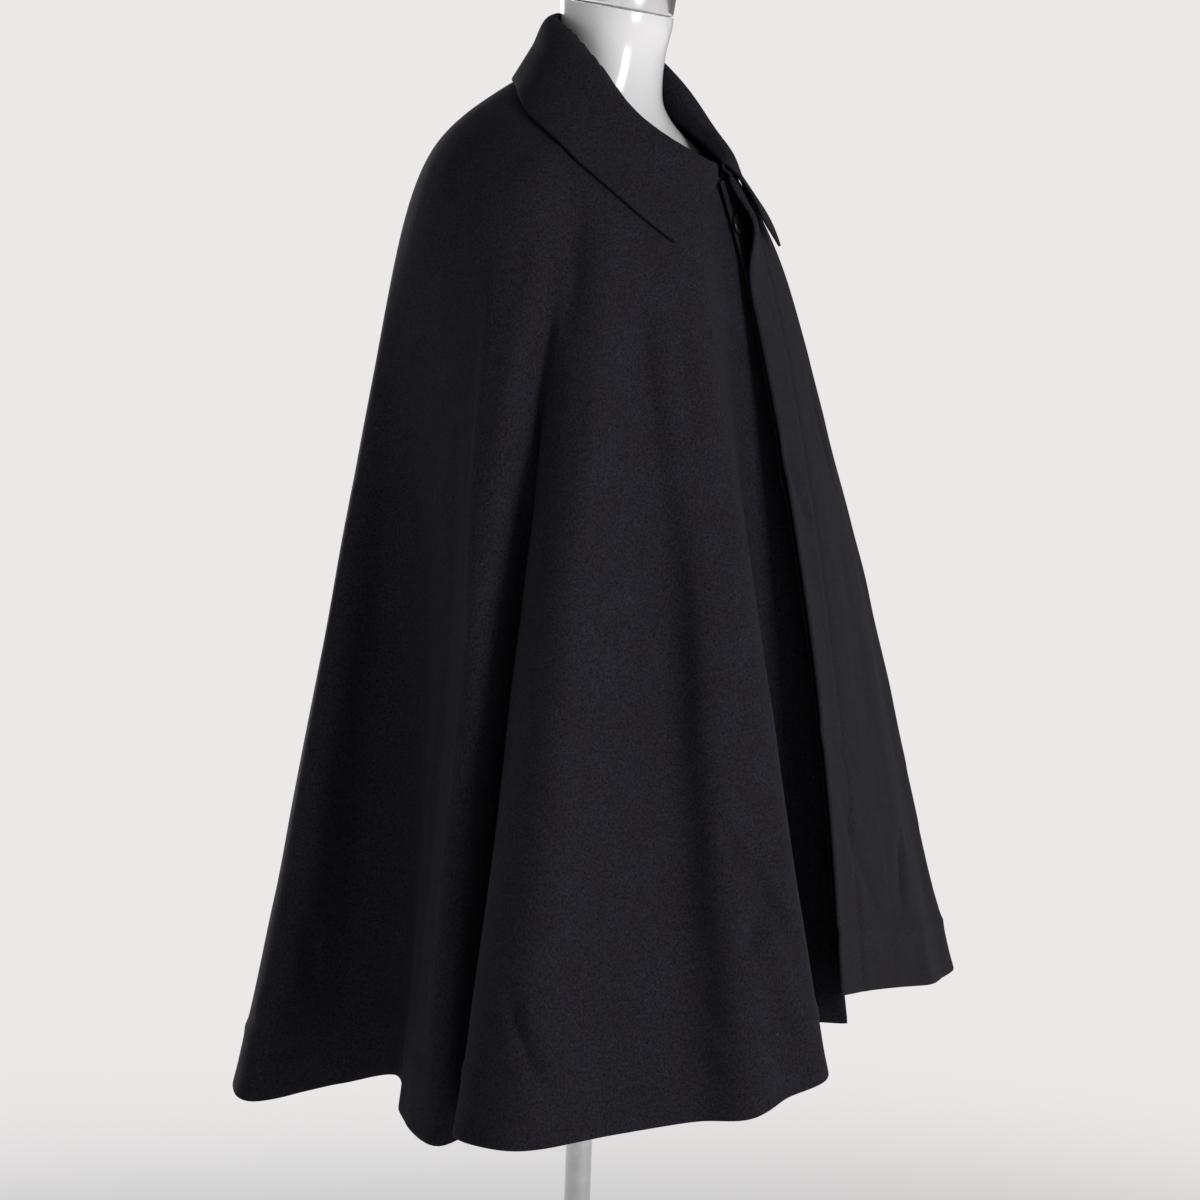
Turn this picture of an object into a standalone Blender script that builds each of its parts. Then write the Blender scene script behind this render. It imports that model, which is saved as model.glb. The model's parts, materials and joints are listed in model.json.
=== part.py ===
"""A wool cape coat, buttoned under a fly front, on a limbless dress form with its stand.

The coat faces -Y, the wearer's right is -X and +Z is up. The origin is on the floor under the pole.
A bearing is an angle round the coat, seen from above: 0 at the centre front, 90 at the wearer's
right shoulder, 180 at the centre back and 270 at the left shoulder.
"""

import math

import bpy
import numpy as np

# Cloth
CLOTH = 0.0025
FLY_PLY = 0.0018
COLLAR_CLOTH = 0.0028
COLLAR_SEAM_SLACK = 0.0005
FOLD_WIDTH = 0.0035
FOLD_ROUNDING = 0.001
STAND_START = 0.004
STAND_LEAN = 0.001
SEAM_GAP = 0.0003
FORM_GAP = 0.0008
AXIS_Y = 0.005

# How far down the folds take to form, as a share of the fall, and how wide an arc they even out over
FOLD_FADE = 0.42
FOLD_SPREAD = 16.0
FOLD_FREE = (20.0, 320.0)
FOLD_EASE = 25.0

# Fineness of the solids
CAPE_COLUMNS = 124
SHOULDER_ROWS = 7
FALL_ROWS = 9
FORM_COLUMNS = 36

# Where the two fronts overlap
UNDERLAP_BEARING = -20.0
OVERLAP_BEARING = 355.0
TUCK = 0.0118
TUCK_UNTIL = 2.0
TUCK_FADE = 26.0

# The fly front: a ply under the left front's edge, with the buttons between the two
FLY = {
    "from_edge": (0.009, 0.018, 0.028, 0.040, 0.054),
    "room": (0.0044, 0.0044, 0.0044, 0.0030, 0.0012),
}
FLY_OUT = 0.019
FLY_OUT_LENGTH = 0.085
FLY_LENGTH = 0.66
BUTTON_ROOM = 0.0044
GAPE = 0.014
GAPE_AT = 0.046
GAPE_LENGTH = 0.028
BUTTON_RADIUS = 0.0095
BUTTON_THICKNESS = 0.0028
BUTTON_FROM_EDGE = (0.006, 0.024, 0.024, 0.024)
FIRST_BUTTON = 0.042
BUTTON_STEP = 0.145

# The seams from the neck over each shoulder and down the side, as bearings at the shoulder
RIGHT_SEAM = 152.0
LEFT_SEAM = 226.0

# The neckline, where the collar is sewn on
NECKLINE = {
    "bearing": (0, 28, 47, 70, 94, 130, 180),
    "reach": (0.1166, 0.1107, 0.1008, 0.0850, 0.0761, 0.0731, 0.0721),
    "height": (1.323, 1.331, 1.346, 1.372, 1.394, 1.411, 1.420),
}

# The corner that each column of cloth rounds as it leaves the shoulder, chest or back, and how
# closely it keeps to that corner
SHOULDER = {
    "bearing": (0, 30, 60, 90, 120, 150, 180),
    "reach": (0.151, 0.158, 0.186, 0.211, 0.207, 0.189, 0.179),
    "height": (1.215, 1.245, 1.296, 1.335, 1.345, 1.345, 1.340),
    "weight": (1.6, 2.1, 2.8, 3.6, 4.0, 4.0, 4.0),
}

# The line where the collar turns over
COLLAR_FOLD = {
    "bearing": (0, 28, 47, 70, 94, 130, 180),
    "reach": (0.1107, 0.1028, 0.0889, 0.0736, 0.0652, 0.0593, 0.0568),
    "height": (1.336, 1.354, 1.378, 1.418, 1.4445, 1.462, 1.470),
}

# How far below the neckline the collar's leaf ends, measured down the cloth, its lift off it there,
# the swell of the leaf halfway and how far its fold lies inside the line above
LEAF = {
    "bearing": (7, 24, 38, 56, 76, 98, 110, 122, 180, 238, 262, 284, 304, 322, 338, 351),
    "drop": (0.004, 0.035, 0.088, 0.083, 0.078, 0.061, 0.041, 0.027, 0.015, 0.034, 0.064, 0.074, 0.080,
             0.087, 0.036, 0.004),
    "lift": (0.005, 0.005, 0.0045, 0.0045, 0.0045, 0.0045, 0.0045, 0.003, 0.003, 0.004, 0.004, 0.005, 0.006,
             0.011, 0.008, 0.007),
    "swell": (0.001, 0.001, 0.0015, 0.0015, 0.0015, 0.001, 0.0, 0.0, 0.0, 0.001, 0.001, 0.001, 0.0,
              -0.001, 0.0, 0.0),
    "set_in": (0.0, 0.0, 0.0, 0.0, 0.0, 0.001, 0.001, 0.0015, 0.0, 0.0, 0.001, 0.003, 0.004,
               0.004, 0.003, 0.0),
}

# One row for each crest, flank and hollow of the hem, from the right front's edge round the back
# to the left front's edge. The bearing is where that column leaves the shoulder. The bow is how
# far it swells outwards halfway down.
HEM = (
    # name, bearing, x, y, height, bow
    ("right_edge", UNDERLAP_BEARING, 0.029, -0.261, 0.562, 0.004),
    ("front_hollow", 6, 0.022, -0.210, 0.556, -0.004),
    ("front_crest", 31, -0.123, -0.311, 0.549, 0.004),
    ("front_trough", 37, -0.165, -0.296, 0.540, 0.006),
    ("front_panel_a", 43, -0.208, -0.286, 0.530, -0.004),
    ("front_panel_b", 48.5, -0.223, -0.244, 0.524, -0.012),
    ("front_panel_c", 55, -0.276, -0.194, 0.516, -0.002),
    ("panel_crest", 60.5, -0.342, -0.143, 0.508, 0.014),
    ("panel_flank", 64.5, -0.347, -0.110, 0.506, 0.006),
    ("panel_end", 70, -0.325, -0.068, 0.503, -0.012),
    ("side_hollow", 75, -0.212, -0.036, 0.495, -0.014),
    ("side_crest", 80.5, -0.280, -0.022, 0.476, 0.010),
    ("side_flank", 91, -0.233, 0.047, 0.481, -0.008),
    ("back_hollow", 108, -0.154, 0.108, 0.491, -0.010),
    ("back_flank", 121, -0.164, 0.166, 0.475, -0.010),
    ("back_crest", 134, -0.244, 0.211, 0.468, -0.010),
    ("back_turn", 143, -0.190, 0.258, 0.471, -0.010),
    ("hidden_hollow_1", 152, -0.123, 0.244, 0.473, -0.008),
    ("hidden_crest_1", 162, -0.066, 0.319, 0.467, -0.006),
    ("hidden_hollow_2", 174, 0.004, 0.268, 0.469, -0.006),
    ("hidden_crest_2", 187, 0.082, 0.342, 0.467, -0.006),
    ("hidden_hollow_3", 199, 0.127, 0.256, 0.471, -0.006),
    ("hidden_crest_3", 213, 0.220, 0.307, 0.473, -0.006),
    ("hidden_hollow_4", 226, 0.217, 0.195, 0.477, -0.004),
    ("hidden_crest_4", 240, 0.333, 0.210, 0.479, -0.002),
    ("hidden_hollow_5", 254, 0.268, 0.102, 0.485, 0.0),
    ("left_crest", 267, 0.399, 0.056, 0.492, 0.002),
    ("left_panel_a", 279, 0.410, -0.036, 0.507, 0.002),
    ("left_panel_b", 290, 0.424, -0.118, 0.523, 0.002),
    ("left_panel_c", 300, 0.401, -0.197, 0.536, 0.002),
    ("left_panel_d", 311, 0.317, -0.223, 0.544, 0.002),
    ("left_panel_e", 322, 0.238, -0.248, 0.557, 0.003),
    ("left_panel_f", 334, 0.156, -0.254, 0.571, 0.008),
    ("left_panel_g", 345, 0.072, -0.262, 0.585, 0.010),
    ("left_edge", OVERLAP_BEARING, -0.0105, -0.2715, 0.597, 0.014),
)

# The dress form: half its width, and its depth to the front and back, at each height
FORM = {
    "height": (0.745, 0.75, 0.765, 0.80, 0.87, 0.94, 1.00, 1.06, 1.12, 1.18, 1.24, 1.28, 1.31, 1.33,
               1.35, 1.37, 1.39, 1.41, 1.44, 1.475),
    "half_width": (0.128, 0.142, 0.156, 0.165, 0.158, 0.140, 0.132, 0.144, 0.164, 0.182, 0.193, 0.190,
                   0.182, 0.168, 0.139, 0.088, 0.058, 0.0505, 0.0495, 0.0515),
    "front": (0.066, 0.082, 0.096, 0.105, 0.105, 0.099, 0.096, 0.104, 0.112, 0.108, 0.092, 0.077,
              0.064, 0.055, 0.045, 0.037, 0.034, 0.0350, 0.0385, 0.0455),
    "back": (0.070, 0.088, 0.102, 0.111, 0.109, 0.096, 0.092, 0.104, 0.118, 0.129, 0.131, 0.126,
             0.118, 0.110, 0.099, 0.085, 0.071, 0.0620, 0.0585, 0.0585),
}
FORM_SQUARENESS = 2.35
NECK_ROUND_FROM = 1.33
NECK_TILT = math.radians(9)
NECK_TILT_FROM = 1.40

# The cap on the neck and the stand under the form
CAP_RADIUS = 0.0525
CAP_HEIGHT = 0.036
CAP_EDGE = 0.004
POLE_RADIUS = 0.0125
FLANGE_RADIUS = 0.040
FLANGE_THICKNESS = 0.006
BASE_RADIUS = 0.170
BASE_THICKNESS = 0.012
BASE_EDGE = 0.003
BOSS_RADIUS = 0.026
BOSS_HEIGHT = 0.030

MATERIALS = {
    # name: colour, roughness, metallic
    "wool": ((0.012, 0.012, 0.014), 0.9, 0.0),
    "button": ((0.01, 0.01, 0.011), 0.3, 0.0),
    "form_white": ((0.82, 0.82, 0.84), 0.3, 0.0),
    "chrome": ((0.78, 0.78, 0.80), 0.12, 1.0),
}


def clear_scene():
    for old in list(bpy.data.objects):
        bpy.data.objects.remove(old)


def material(name):
    found = bpy.data.materials.get(name)
    if found:
        return found
    colour, roughness, metallic = MATERIALS[name]
    made = bpy.data.materials.new(name)
    made.use_nodes = True
    shader = made.node_tree.nodes["Principled BSDF"]
    shader.inputs["Base Color"].default_value = (*colour, 1)
    shader.inputs["Roughness"].default_value = roughness
    shader.inputs["Metallic"].default_value = metallic
    return made


def add_object(name, points, faces, finish):
    """A named object from points and faces, shaded smooth but for its edges."""
    mesh = bpy.data.meshes.new(name)
    mesh.from_pydata([tuple(p) for p in points], [], faces)
    mesh.materials.append(material(finish))
    mesh.shade_smooth()
    mesh.set_sharp_from_angle(angle=math.radians(50))
    made = bpy.data.objects.new(name, mesh)
    bpy.context.scene.collection.objects.link(made)
    return made


def smooth_step(share):
    share = np.clip(share, 0.0, 1.0)
    return share * share * (3 - 2 * share)


def read(table, column, at):
    """A table's column read at some value of its first column, along a smooth curve."""
    x = np.array(next(iter(table.values())), float)
    y = np.array(table[column], float)
    slope = np.gradient(y, x)
    slope[0] = slope[-1] = 0.0
    at = np.clip(at, x[0], x[-1])
    i = np.clip(np.searchsorted(x, at, side="right") - 1, 0, len(x) - 2)
    step = x[i + 1] - x[i]
    t = (at - x[i]) / step
    return (
        y[i] * (1 + 2 * t) * (1 - t) ** 2
        + slope[i] * step * t * (1 - t) ** 2
        + y[i + 1] * t * t * (3 - 2 * t)
        + slope[i + 1] * step * t * t * (t - 1)
    )


def folded(bearing):
    """A bearing on either side, as 0 at the front to 180 at the back."""
    return np.abs((bearing + 180) % 360 - 180)


def at_bearing(bearing, reach, height):
    angle = np.radians(bearing)
    x, y = -np.sin(angle) * reach, AXIS_Y - np.cos(angle) * reach
    return np.stack([x, y, np.broadcast_to(height, np.shape(x))], axis=-1)


def from_table(table, bearing):
    side = folded(bearing)
    return at_bearing(bearing, read(table, "reach", side), read(table, "height", side))


def through(rows, count):
    """Evenly spaced rows on the curve through some rows. Their x and y are columns 1 and 2."""
    rows = np.array(rows, float)
    chord = np.sqrt(np.linalg.norm(np.diff(rows[:, 1:3], axis=0), axis=1))
    knot = np.concatenate([[0.0], np.cumsum(chord)])
    slope = np.gradient(rows, knot, axis=0)

    def curve(at):
        i = np.clip(np.searchsorted(knot, at, side="right") - 1, 0, len(knot) - 2)
        step = (knot[i + 1] - knot[i])[:, None]
        t = ((at - knot[i]) / step[:, 0])[:, None]
        return (
            rows[i] * (1 + 2 * t) * (1 - t) ** 2
            + slope[i] * step * t * (1 - t) ** 2
            + rows[i + 1] * t * t * (3 - 2 * t)
            + slope[i + 1] * step * t * t * (t - 1)
        )

    fine = np.linspace(0, knot[-1], 4000)
    plan = curve(fine)[:, 1:3]
    along = np.concatenate([[0], np.cumsum(np.linalg.norm(np.diff(plan, axis=0), axis=1))])
    return curve(np.interp(np.linspace(0, along[-1], count), along, fine))


def form_section(height):
    """The form's half width, front depth and back depth at some heights."""
    return [read(FORM, column, height) for column in ("half_width", "front", "back")]


def outside_form(points):
    """Above 0 outside the form, below 0 inside it."""
    half_width, front, back = form_section(points[..., 2])
    depth = np.where(points[..., 1] < 0, front, back)
    power = FORM_SQUARENESS
    share = (np.abs(points[..., 0]) / half_width) ** power
    share = share + (np.abs(points[..., 1]) / depth) ** power
    return share ** (1 / power) - 1


def rest_on_form(points, gap):
    """Points nearer to the form than the gap, moved out until they clear it by the gap."""
    points = np.array(points)
    flat = points.reshape(-1, 3)
    near = np.flatnonzero(outside_form(flat) < 0.06)
    step = 1e-4
    for _ in range(5):
        some = flat[near]
        value = outside_form(some)
        slope = [(outside_form(some + step * axis) - value) / step for axis in np.eye(3)]
        slope = np.stack(slope, axis=-1)
        steep = np.linalg.norm(slope, axis=-1)
        short = np.clip(gap - value / steep, 0, 0.01)
        flat[near] += slope / steep[:, None] * short[:, None]
    return points


def clear_of_form(grid, gap):
    """Moves a grid's points out until the flat facets between them clear the form too."""
    columns, rows = grid.shape[0] - 1, grid.shape[1] - 1
    diagonals = (((0, 0), (1, 1)), ((1, 0), (0, 1)))
    edges = (((0, 0), (1, 0)), ((0, 0), (0, 1)), ((1, 0), (1, 1)), ((0, 1), (1, 1)))
    for _ in range(6):
        for one, other in diagonals + edges:
            a = grid[one[0] : one[0] + columns, one[1] : one[1] + rows]
            b = grid[other[0] : other[0] + columns, other[1] : other[1] + rows]
            middle = (a + b) / 2
            push = (rest_on_form(middle, gap) - middle) * 0.6
            a += push
            b += push
    return grid


def column_shares(rows_on_shoulder, rows_on_fall):
    """Shares of a column's length, closer together over the shoulder."""
    shoulder = np.linspace(0, 0.24, rows_on_shoulder, endpoint=False)
    return np.concatenate([shoulder, np.linspace(0.24, 1, rows_on_fall + 1)])


def evened(bearing, hem):
    """The hem evened out round the coat, but not beside its front edges."""
    apart = bearing[:, None] - bearing[None]
    near = np.exp(-((apart / FOLD_SPREAD) ** 2))
    even = near @ hem / near.sum(axis=1)[:, None]
    free = smooth_step((bearing - FOLD_FREE[0]) / FOLD_EASE)
    free = free * smooth_step((FOLD_FREE[1] - bearing) / FOLD_EASE)
    return hem + (even - hem) * free[:, None]


def cape_surface(rows, shares):
    """The inner face of the cape, as a grid of columns from the neck to the hem.

    Each row gives a column's bearing at the shoulder, its hem point and its bow.
    """
    bearing, hem, bow = rows[:, 0], rows[:, 1:4], rows[:, 4]
    tuck = TUCK * (1 - smooth_step((bearing - TUCK_UNTIL) / TUCK_FADE))
    outwards = at_bearing(bearing, 1.0, 0.0) - at_bearing(bearing, 0.0, 0.0)
    neck = from_table(NECKLINE, bearing) - outwards * tuck[:, None]
    corner = from_table(SHOULDER, bearing) - outwards * tuck[:, None]
    fine = np.linspace(0, 1, 160)
    ends = (1 - fine) ** 2, fine**2
    weight = read(SHOULDER, "weight", folded(bearing))
    middle = 2 * fine * (1 - fine) * weight[:, None]
    total = ends[0] + middle + ends[1]
    hung = ends[1] / total
    even = evened(bearing, hem)
    folds = (hem - even)[:, None] * (hung * smooth_step(hung / FOLD_FADE))[..., None]
    path = (
        neck[:, None] * (ends[0] / total)[..., None]
        + corner[:, None] * (middle / total)[..., None]
        + even[:, None] * hung[..., None]
        + folds
    )
    plan = hem - [0, AXIS_Y, 0]
    plan[:, 2] = 0
    plan = plan / np.linalg.norm(plan, axis=1)[:, None]
    fallen = (corner[:, None, 2] - path[..., 2]) / (corner[:, 2] - hem[:, 2])[:, None]
    swell = np.sin(math.pi * np.clip(fallen, 0, 1)) * bow[:, None]
    path = path + plan[:, None] * swell[..., None]
    path = rest_on_form(path, FORM_GAP)
    grid = np.empty((len(rows), len(shares), 3))
    for i, column in enumerate(path):
        length = np.concatenate([[0], np.cumsum(np.linalg.norm(np.diff(column, axis=0), axis=1))])
        at = np.interp(shares * length[-1], length, np.linspace(0, 1, len(column)))
        for axis in range(3):
            grid[i, :, axis] = np.interp(at, np.linspace(0, 1, len(column)), column[:, axis])
    return clear_of_form(grid, FORM_GAP)


def normals_of(grid):
    """Outward normals of a grid whose columns run round the coat and whose rows run down it."""
    across = np.gradient(grid, axis=0)
    down = np.gradient(grid, axis=1)
    normal = np.cross(down, across)
    normal = normal / np.linalg.norm(normal, axis=-1)[..., None]
    return -normal if (normal[..., 2].mean() < 0) else normal


def wall(name, inner, outer, finish):
    """A closed wall between two grids of the same shape."""
    columns, rows = inner.shape[:2]
    points = np.concatenate([inner.reshape(-1, 3), outer.reshape(-1, 3)])

    def at(i, j, side):
        return side * columns * rows + i * rows + j

    faces = []
    for i in range(columns - 1):
        for j in range(rows - 1):
            for side in (0, 1):
                quad = [at(i, j, side), at(i, j + 1, side), at(i + 1, j + 1, side), at(i + 1, j, side)]
                faces.append(quad if side == 0 else quad[::-1])
    rim = [(i, 0) for i in range(columns)]
    rim += [(columns - 1, j) for j in range(1, rows)]
    rim += [(i, rows - 1) for i in range(columns - 2, -1, -1)]
    rim += [(0, j) for j in range(rows - 2, 0, -1)]
    for a, b in zip(rim, rim[1:] + rim[:1]):
        faces.append([at(*a, 0), at(*b, 0), at(*b, 1), at(*a, 1)])
    made = add_object(name, points, faces, finish)
    face_outwards(made)
    return made


def face_outwards(made):
    """Turns the faces round if they enclose a negative volume."""
    mesh = made.data
    mesh.calc_loop_triangles()
    points = np.array([v.co for v in mesh.vertices])
    corners = points[np.array([t.vertices[:] for t in mesh.loop_triangles])]
    volume = np.einsum("ij,ij->i", corners[:, 0], np.cross(corners[:, 1], corners[:, 2])).sum()
    if volume < 0:
        mesh.flip_normals()


def pull_back(grid, column, towards):
    """Moves one border column of a grid a little towards its neighbour, to leave the seam's gap."""
    along = grid[towards] - grid[column]
    length = np.linalg.norm(along, axis=-1)[..., None]
    grid[column] += along / length * (SEAM_GAP / 2 + 0.0001)


def cape_rows():
    return through([row[1:] for row in HEM], CAPE_COLUMNS)


def gape_of(rows, grid):
    """How far the left front's edge stands off the fly's inner ply, near the neck."""
    edge = np.linalg.norm(grid - grid[-1][None], axis=-1)
    down = np.linalg.norm(grid - grid[:, :1], axis=-1)
    near_edge = np.exp(-((edge / 0.030) ** 2))
    near_neck = np.exp(-(((down - GAPE_AT) / GAPE_LENGTH) ** 2))
    left = (rows[:, 0] > 320)[:, None]
    return GAPE * near_edge * near_neck * left


def cape_grids():
    """The columns' bearings, the left front's flat inner face, and the cape's two faces."""
    rows = cape_rows()
    flat = cape_surface(rows, column_shares(SHOULDER_ROWS, FALL_ROWS))
    inner = flat + normals_of(flat) * gape_of(rows, flat)[..., None]
    return rows[:, 0], flat, inner, inner + normals_of(inner) * CLOTH


def build_panels(bearing, inner, outer):
    right_seam = int(np.argmin(np.abs(bearing - RIGHT_SEAM)))
    left_seam = int(np.argmin(np.abs(bearing - LEFT_SEAM)))
    spans = {
        "front_right": (0, right_seam),
        "back": (right_seam, left_seam),
        "front_left": (left_seam, len(bearing) - 1),
    }
    for name, (first, last) in spans.items():
        faces = [side[first : last + 1].copy() for side in (inner, outer)]
        for side in faces:
            if name != "front_right":
                pull_back(side, 0, 1)
            if name != "front_left":
                pull_back(side, -1, -2)
        wall(name, *faces, "wool")


def on_fly(flat, widths, out_by=0.0):
    """The left front's flat inner face at some distances from its edge, and its normals there.

    The first distance grows outwards by some amount near the neck, past the left front's edge.
    """
    normal = normals_of(flat)
    found = np.empty((len(widths), flat.shape[1], 3))
    outwards = np.empty_like(found)
    for j in range(flat.shape[1]):
        line = flat[::-1, j]
        from_edge = np.concatenate([[0], np.cumsum(np.linalg.norm(np.diff(line, axis=0), axis=1))])
        for axis in range(3):
            found[:, j, axis] = np.interp(widths, from_edge, line[:, axis])
        fallen = np.linalg.norm(line[0] - flat[-1, 0])
        beyond = out_by * max(0.0, 1 - fallen / FLY_OUT_LENGTH)
        found[0, j] += (line[0] - line[1]) / from_edge[1] * beyond
        for axis in range(3):
            outwards[:, j, axis] = np.interp(widths, from_edge, normal[::-1, j, axis])
    return found, outwards / np.linalg.norm(outwards, axis=-1)[..., None]


def build_fly(flat):
    """The buttonhole ply under the left front's edge, and the buttons that lie on it."""
    points, outwards = on_fly(flat, np.array(FLY["from_edge"]), FLY_OUT)
    fallen = np.linalg.norm(points[0] - points[0, 0], axis=-1)
    kept = fallen < FLY_LENGTH
    points, outwards = points[:, kept], outwards[:, kept]
    top = points - outwards * np.array(FLY["room"])[:, None, None]
    wall("fly_ply", top - outwards * FLY_PLY, top, "wool")

    lines, normals = on_fly(flat, np.array(BUTTON_FROM_EDGE))
    for k, (line, outwards) in enumerate(zip(lines, normals)):
        fallen = np.concatenate([[0], np.cumsum(np.linalg.norm(np.diff(line, axis=0), axis=1))])
        at = FIRST_BUTTON + k * BUTTON_STEP
        place = np.array([np.interp(at, fallen, line[:, axis]) for axis in range(3)])
        out = np.array([np.interp(at, fallen, outwards[:, axis]) for axis in range(3)])
        turned(f"button_{k + 1}", button_profile(), 20, place - out * BUTTON_ROOM / 2, out, "button")


def button_profile():
    """A button's radius and height, from its back's centre round its rim to its face's centre."""
    half = BUTTON_THICKNESS / 2
    return [
        (0, -half),
        (BUTTON_RADIUS * 0.8, -half),
        (BUTTON_RADIUS, -half * 0.3),
        (BUTTON_RADIUS, half * 0.6),
        (BUTTON_RADIUS * 0.9, half),
        (BUTTON_RADIUS * 0.72, half),
        (BUTTON_RADIUS * 0.62, half * 0.4),
        (0, half * 0.4),
    ]


def turned(name, profile, sides, middle, axis, finish):
    """A closed turned solid: (radius, height) pairs from one pole to the other, about an axis."""
    axis = np.array(axis, float) / np.linalg.norm(axis)
    aside = np.cross(axis, [1.0, 0, 0] if abs(axis[0]) < 0.8 else [0, 1.0, 0])
    aside = aside / np.linalg.norm(aside)
    third = np.cross(axis, aside)
    points, rings = [], []
    for radius, height in profile:
        ring = []
        count = 1 if radius == 0 else sides
        for k in range(count):
            angle = 2 * math.pi * k / sides
            offset = aside * math.cos(angle) * radius + third * math.sin(angle) * radius
            ring.append(len(points))
            points.append(np.array(middle) + offset + axis * height)
        rings.append(ring)
    faces = []
    for low, high in zip(rings, rings[1:]):
        for k in range(sides):
            k2 = (k + 1) % sides
            quad = [low[k % len(low)], low[k2 % len(low)], high[k2 % len(high)], high[k % len(high)]]
            faces.append(list(dict.fromkeys(quad)))
    made = add_object(name, points, faces, finish)
    face_outwards(made)
    return made


def leaf_edge(bearing, outer, columns, leaf_bearing):
    """The leaf's edge over each of the cape's columns, evened out but for its points."""
    normal = normals_of(outer)
    steps = np.linalg.norm(np.diff(outer, axis=1), axis=2)
    down = np.concatenate([np.zeros((len(outer), 1)), np.cumsum(steps, axis=1)], axis=1)
    drop = np.interp(bearing[columns], leaf_bearing, LEAF["drop"])
    lift = np.interp(bearing[columns], leaf_bearing, LEAF["lift"])
    edge = np.empty((len(columns), 3))
    for k, i in enumerate(columns):
        point = [np.interp(drop[k], down[i], outer[i, :, axis]) for axis in range(3)]
        out = [np.interp(drop[k], down[i], normal[i, :, axis]) for axis in range(3)]
        edge[k] = np.array(point) + np.array(out) * lift[k]
    kept = np.isin(bearing[columns], leaf_bearing[[0, 1, 2, -3, -2, -1]])
    even = edge.copy()
    for _ in range(4):
        even[1:-1] = np.where(kept[1:-1, None], edge[1:-1], (even[:-2] + even[1:-1] + even[2:]) / 3)
    return even


def build_collar(bearing, inner, outer):
    """One folded strip: the stand up from the neckline, the turn, and the leaf that lies on the cape."""
    points_at = [np.argmin(np.abs(bearing - at)) for at in LEAF["bearing"]]
    columns = np.arange(points_at[0], points_at[-1] + 1)
    leaf_bearing = bearing[points_at]
    edge = leaf_edge(bearing, outer, columns, leaf_bearing)
    swell = np.interp(bearing[columns], leaf_bearing, LEAF["swell"])
    set_in = np.interp(bearing[columns], leaf_bearing, LEAF["set_in"])
    sections = []
    for k, i in enumerate(columns):
        radial = at_bearing(bearing[i], 1.0, 0.0) - at_bearing(bearing[i], 0.0, 0.0)
        up = np.array([0.0, 0.0, 1.0])
        seam = (inner[i, 0] + outer[i, 0]) / 2
        along = seam - (inner[i, 1] + outer[i, 1]) / 2
        along = along / np.linalg.norm(along)
        fold = from_table(COLLAR_FOLD, bearing[i]) - radial * set_in[k]
        turn_over = fold + radial * FOLD_WIDTH - up * FOLD_ROUNDING
        path = [
            seam + along * (SEAM_GAP + COLLAR_SEAM_SLACK),
            seam + along * STAND_START,
            fold - radial * STAND_LEAN - up * STAND_LEAN * 4,
            fold,
            turn_over,
            (turn_over + edge[k]) / 2 + radial * swell[k],
            edge[k],
        ]
        sections.append(thick_path(np.array(path), COLLAR_CLOTH / 2))
    ring = len(sections[0])
    points = np.concatenate(sections)
    faces = [list(range(ring)), list(range(len(points) - ring, len(points)))[::-1]]
    for i in range(len(sections) - 1):
        for j in range(ring):
            j2 = (j + 1) % ring
            faces.append([i * ring + j, (i + 1) * ring + j, (i + 1) * ring + j2, i * ring + j2])
    made = add_object("collar", points, faces, "wool")
    face_outwards(made)


def thick_path(path, half):
    """A closed outline round a path, half a thickness to each side. The path lies in one plane."""
    along = np.gradient(path, axis=0)
    along = along / np.linalg.norm(along, axis=1)[:, None]
    across = np.cross(along[0], along[len(path) // 2])
    if np.linalg.norm(across) < 1e-6:
        across = np.cross(along[0], along[-1])
    across = across / np.linalg.norm(across)
    aside = np.cross(along, across)
    aside = aside / np.linalg.norm(aside, axis=1)[:, None]
    return np.concatenate([path + aside * half, (path - aside * half)[::-1]])


def build_form():
    """The torso and neck, in one body, closed by a flat underside and a tilted flat neck top."""
    heights = np.array(FORM["height"])
    fine = np.unique(np.concatenate([heights, (heights[1:] + heights[:-1]) / 2]))
    angles = np.linspace(0, 2 * math.pi, FORM_COLUMNS, endpoint=False)
    points = []
    for height in fine:
        half_width, front, back = (float(value) for value in form_section(height))
        rounder = float(smooth_step(np.array((height - NECK_ROUND_FROM) / 0.08)))
        power = FORM_SQUARENESS + (2.0 - FORM_SQUARENESS) * rounder
        for angle in angles:
            x, y = math.cos(angle), math.sin(angle)
            size = (abs(x) ** power + abs(y) ** power) ** (-1 / power)
            depth = back if y > 0 else front
            place = [x * size * half_width, y * size * depth, height]
            tilt = float(smooth_step(np.array((height - NECK_TILT_FROM) / (heights[-1] - NECK_TILT_FROM))))
            place[2] += place[1] * math.tan(NECK_TILT) * tilt
            points.append(place)
    count = FORM_COLUMNS
    faces = [list(range(count))[::-1], list(range(len(points) - count, len(points)))]
    for i in range(len(fine) - 1):
        for k in range(count):
            k2 = (k + 1) % count
            faces.append([i * count + k, i * count + k2, (i + 1) * count + k2, (i + 1) * count + k])
    made = add_object("form_torso", points, faces, "form_white")
    face_outwards(made)


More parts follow.
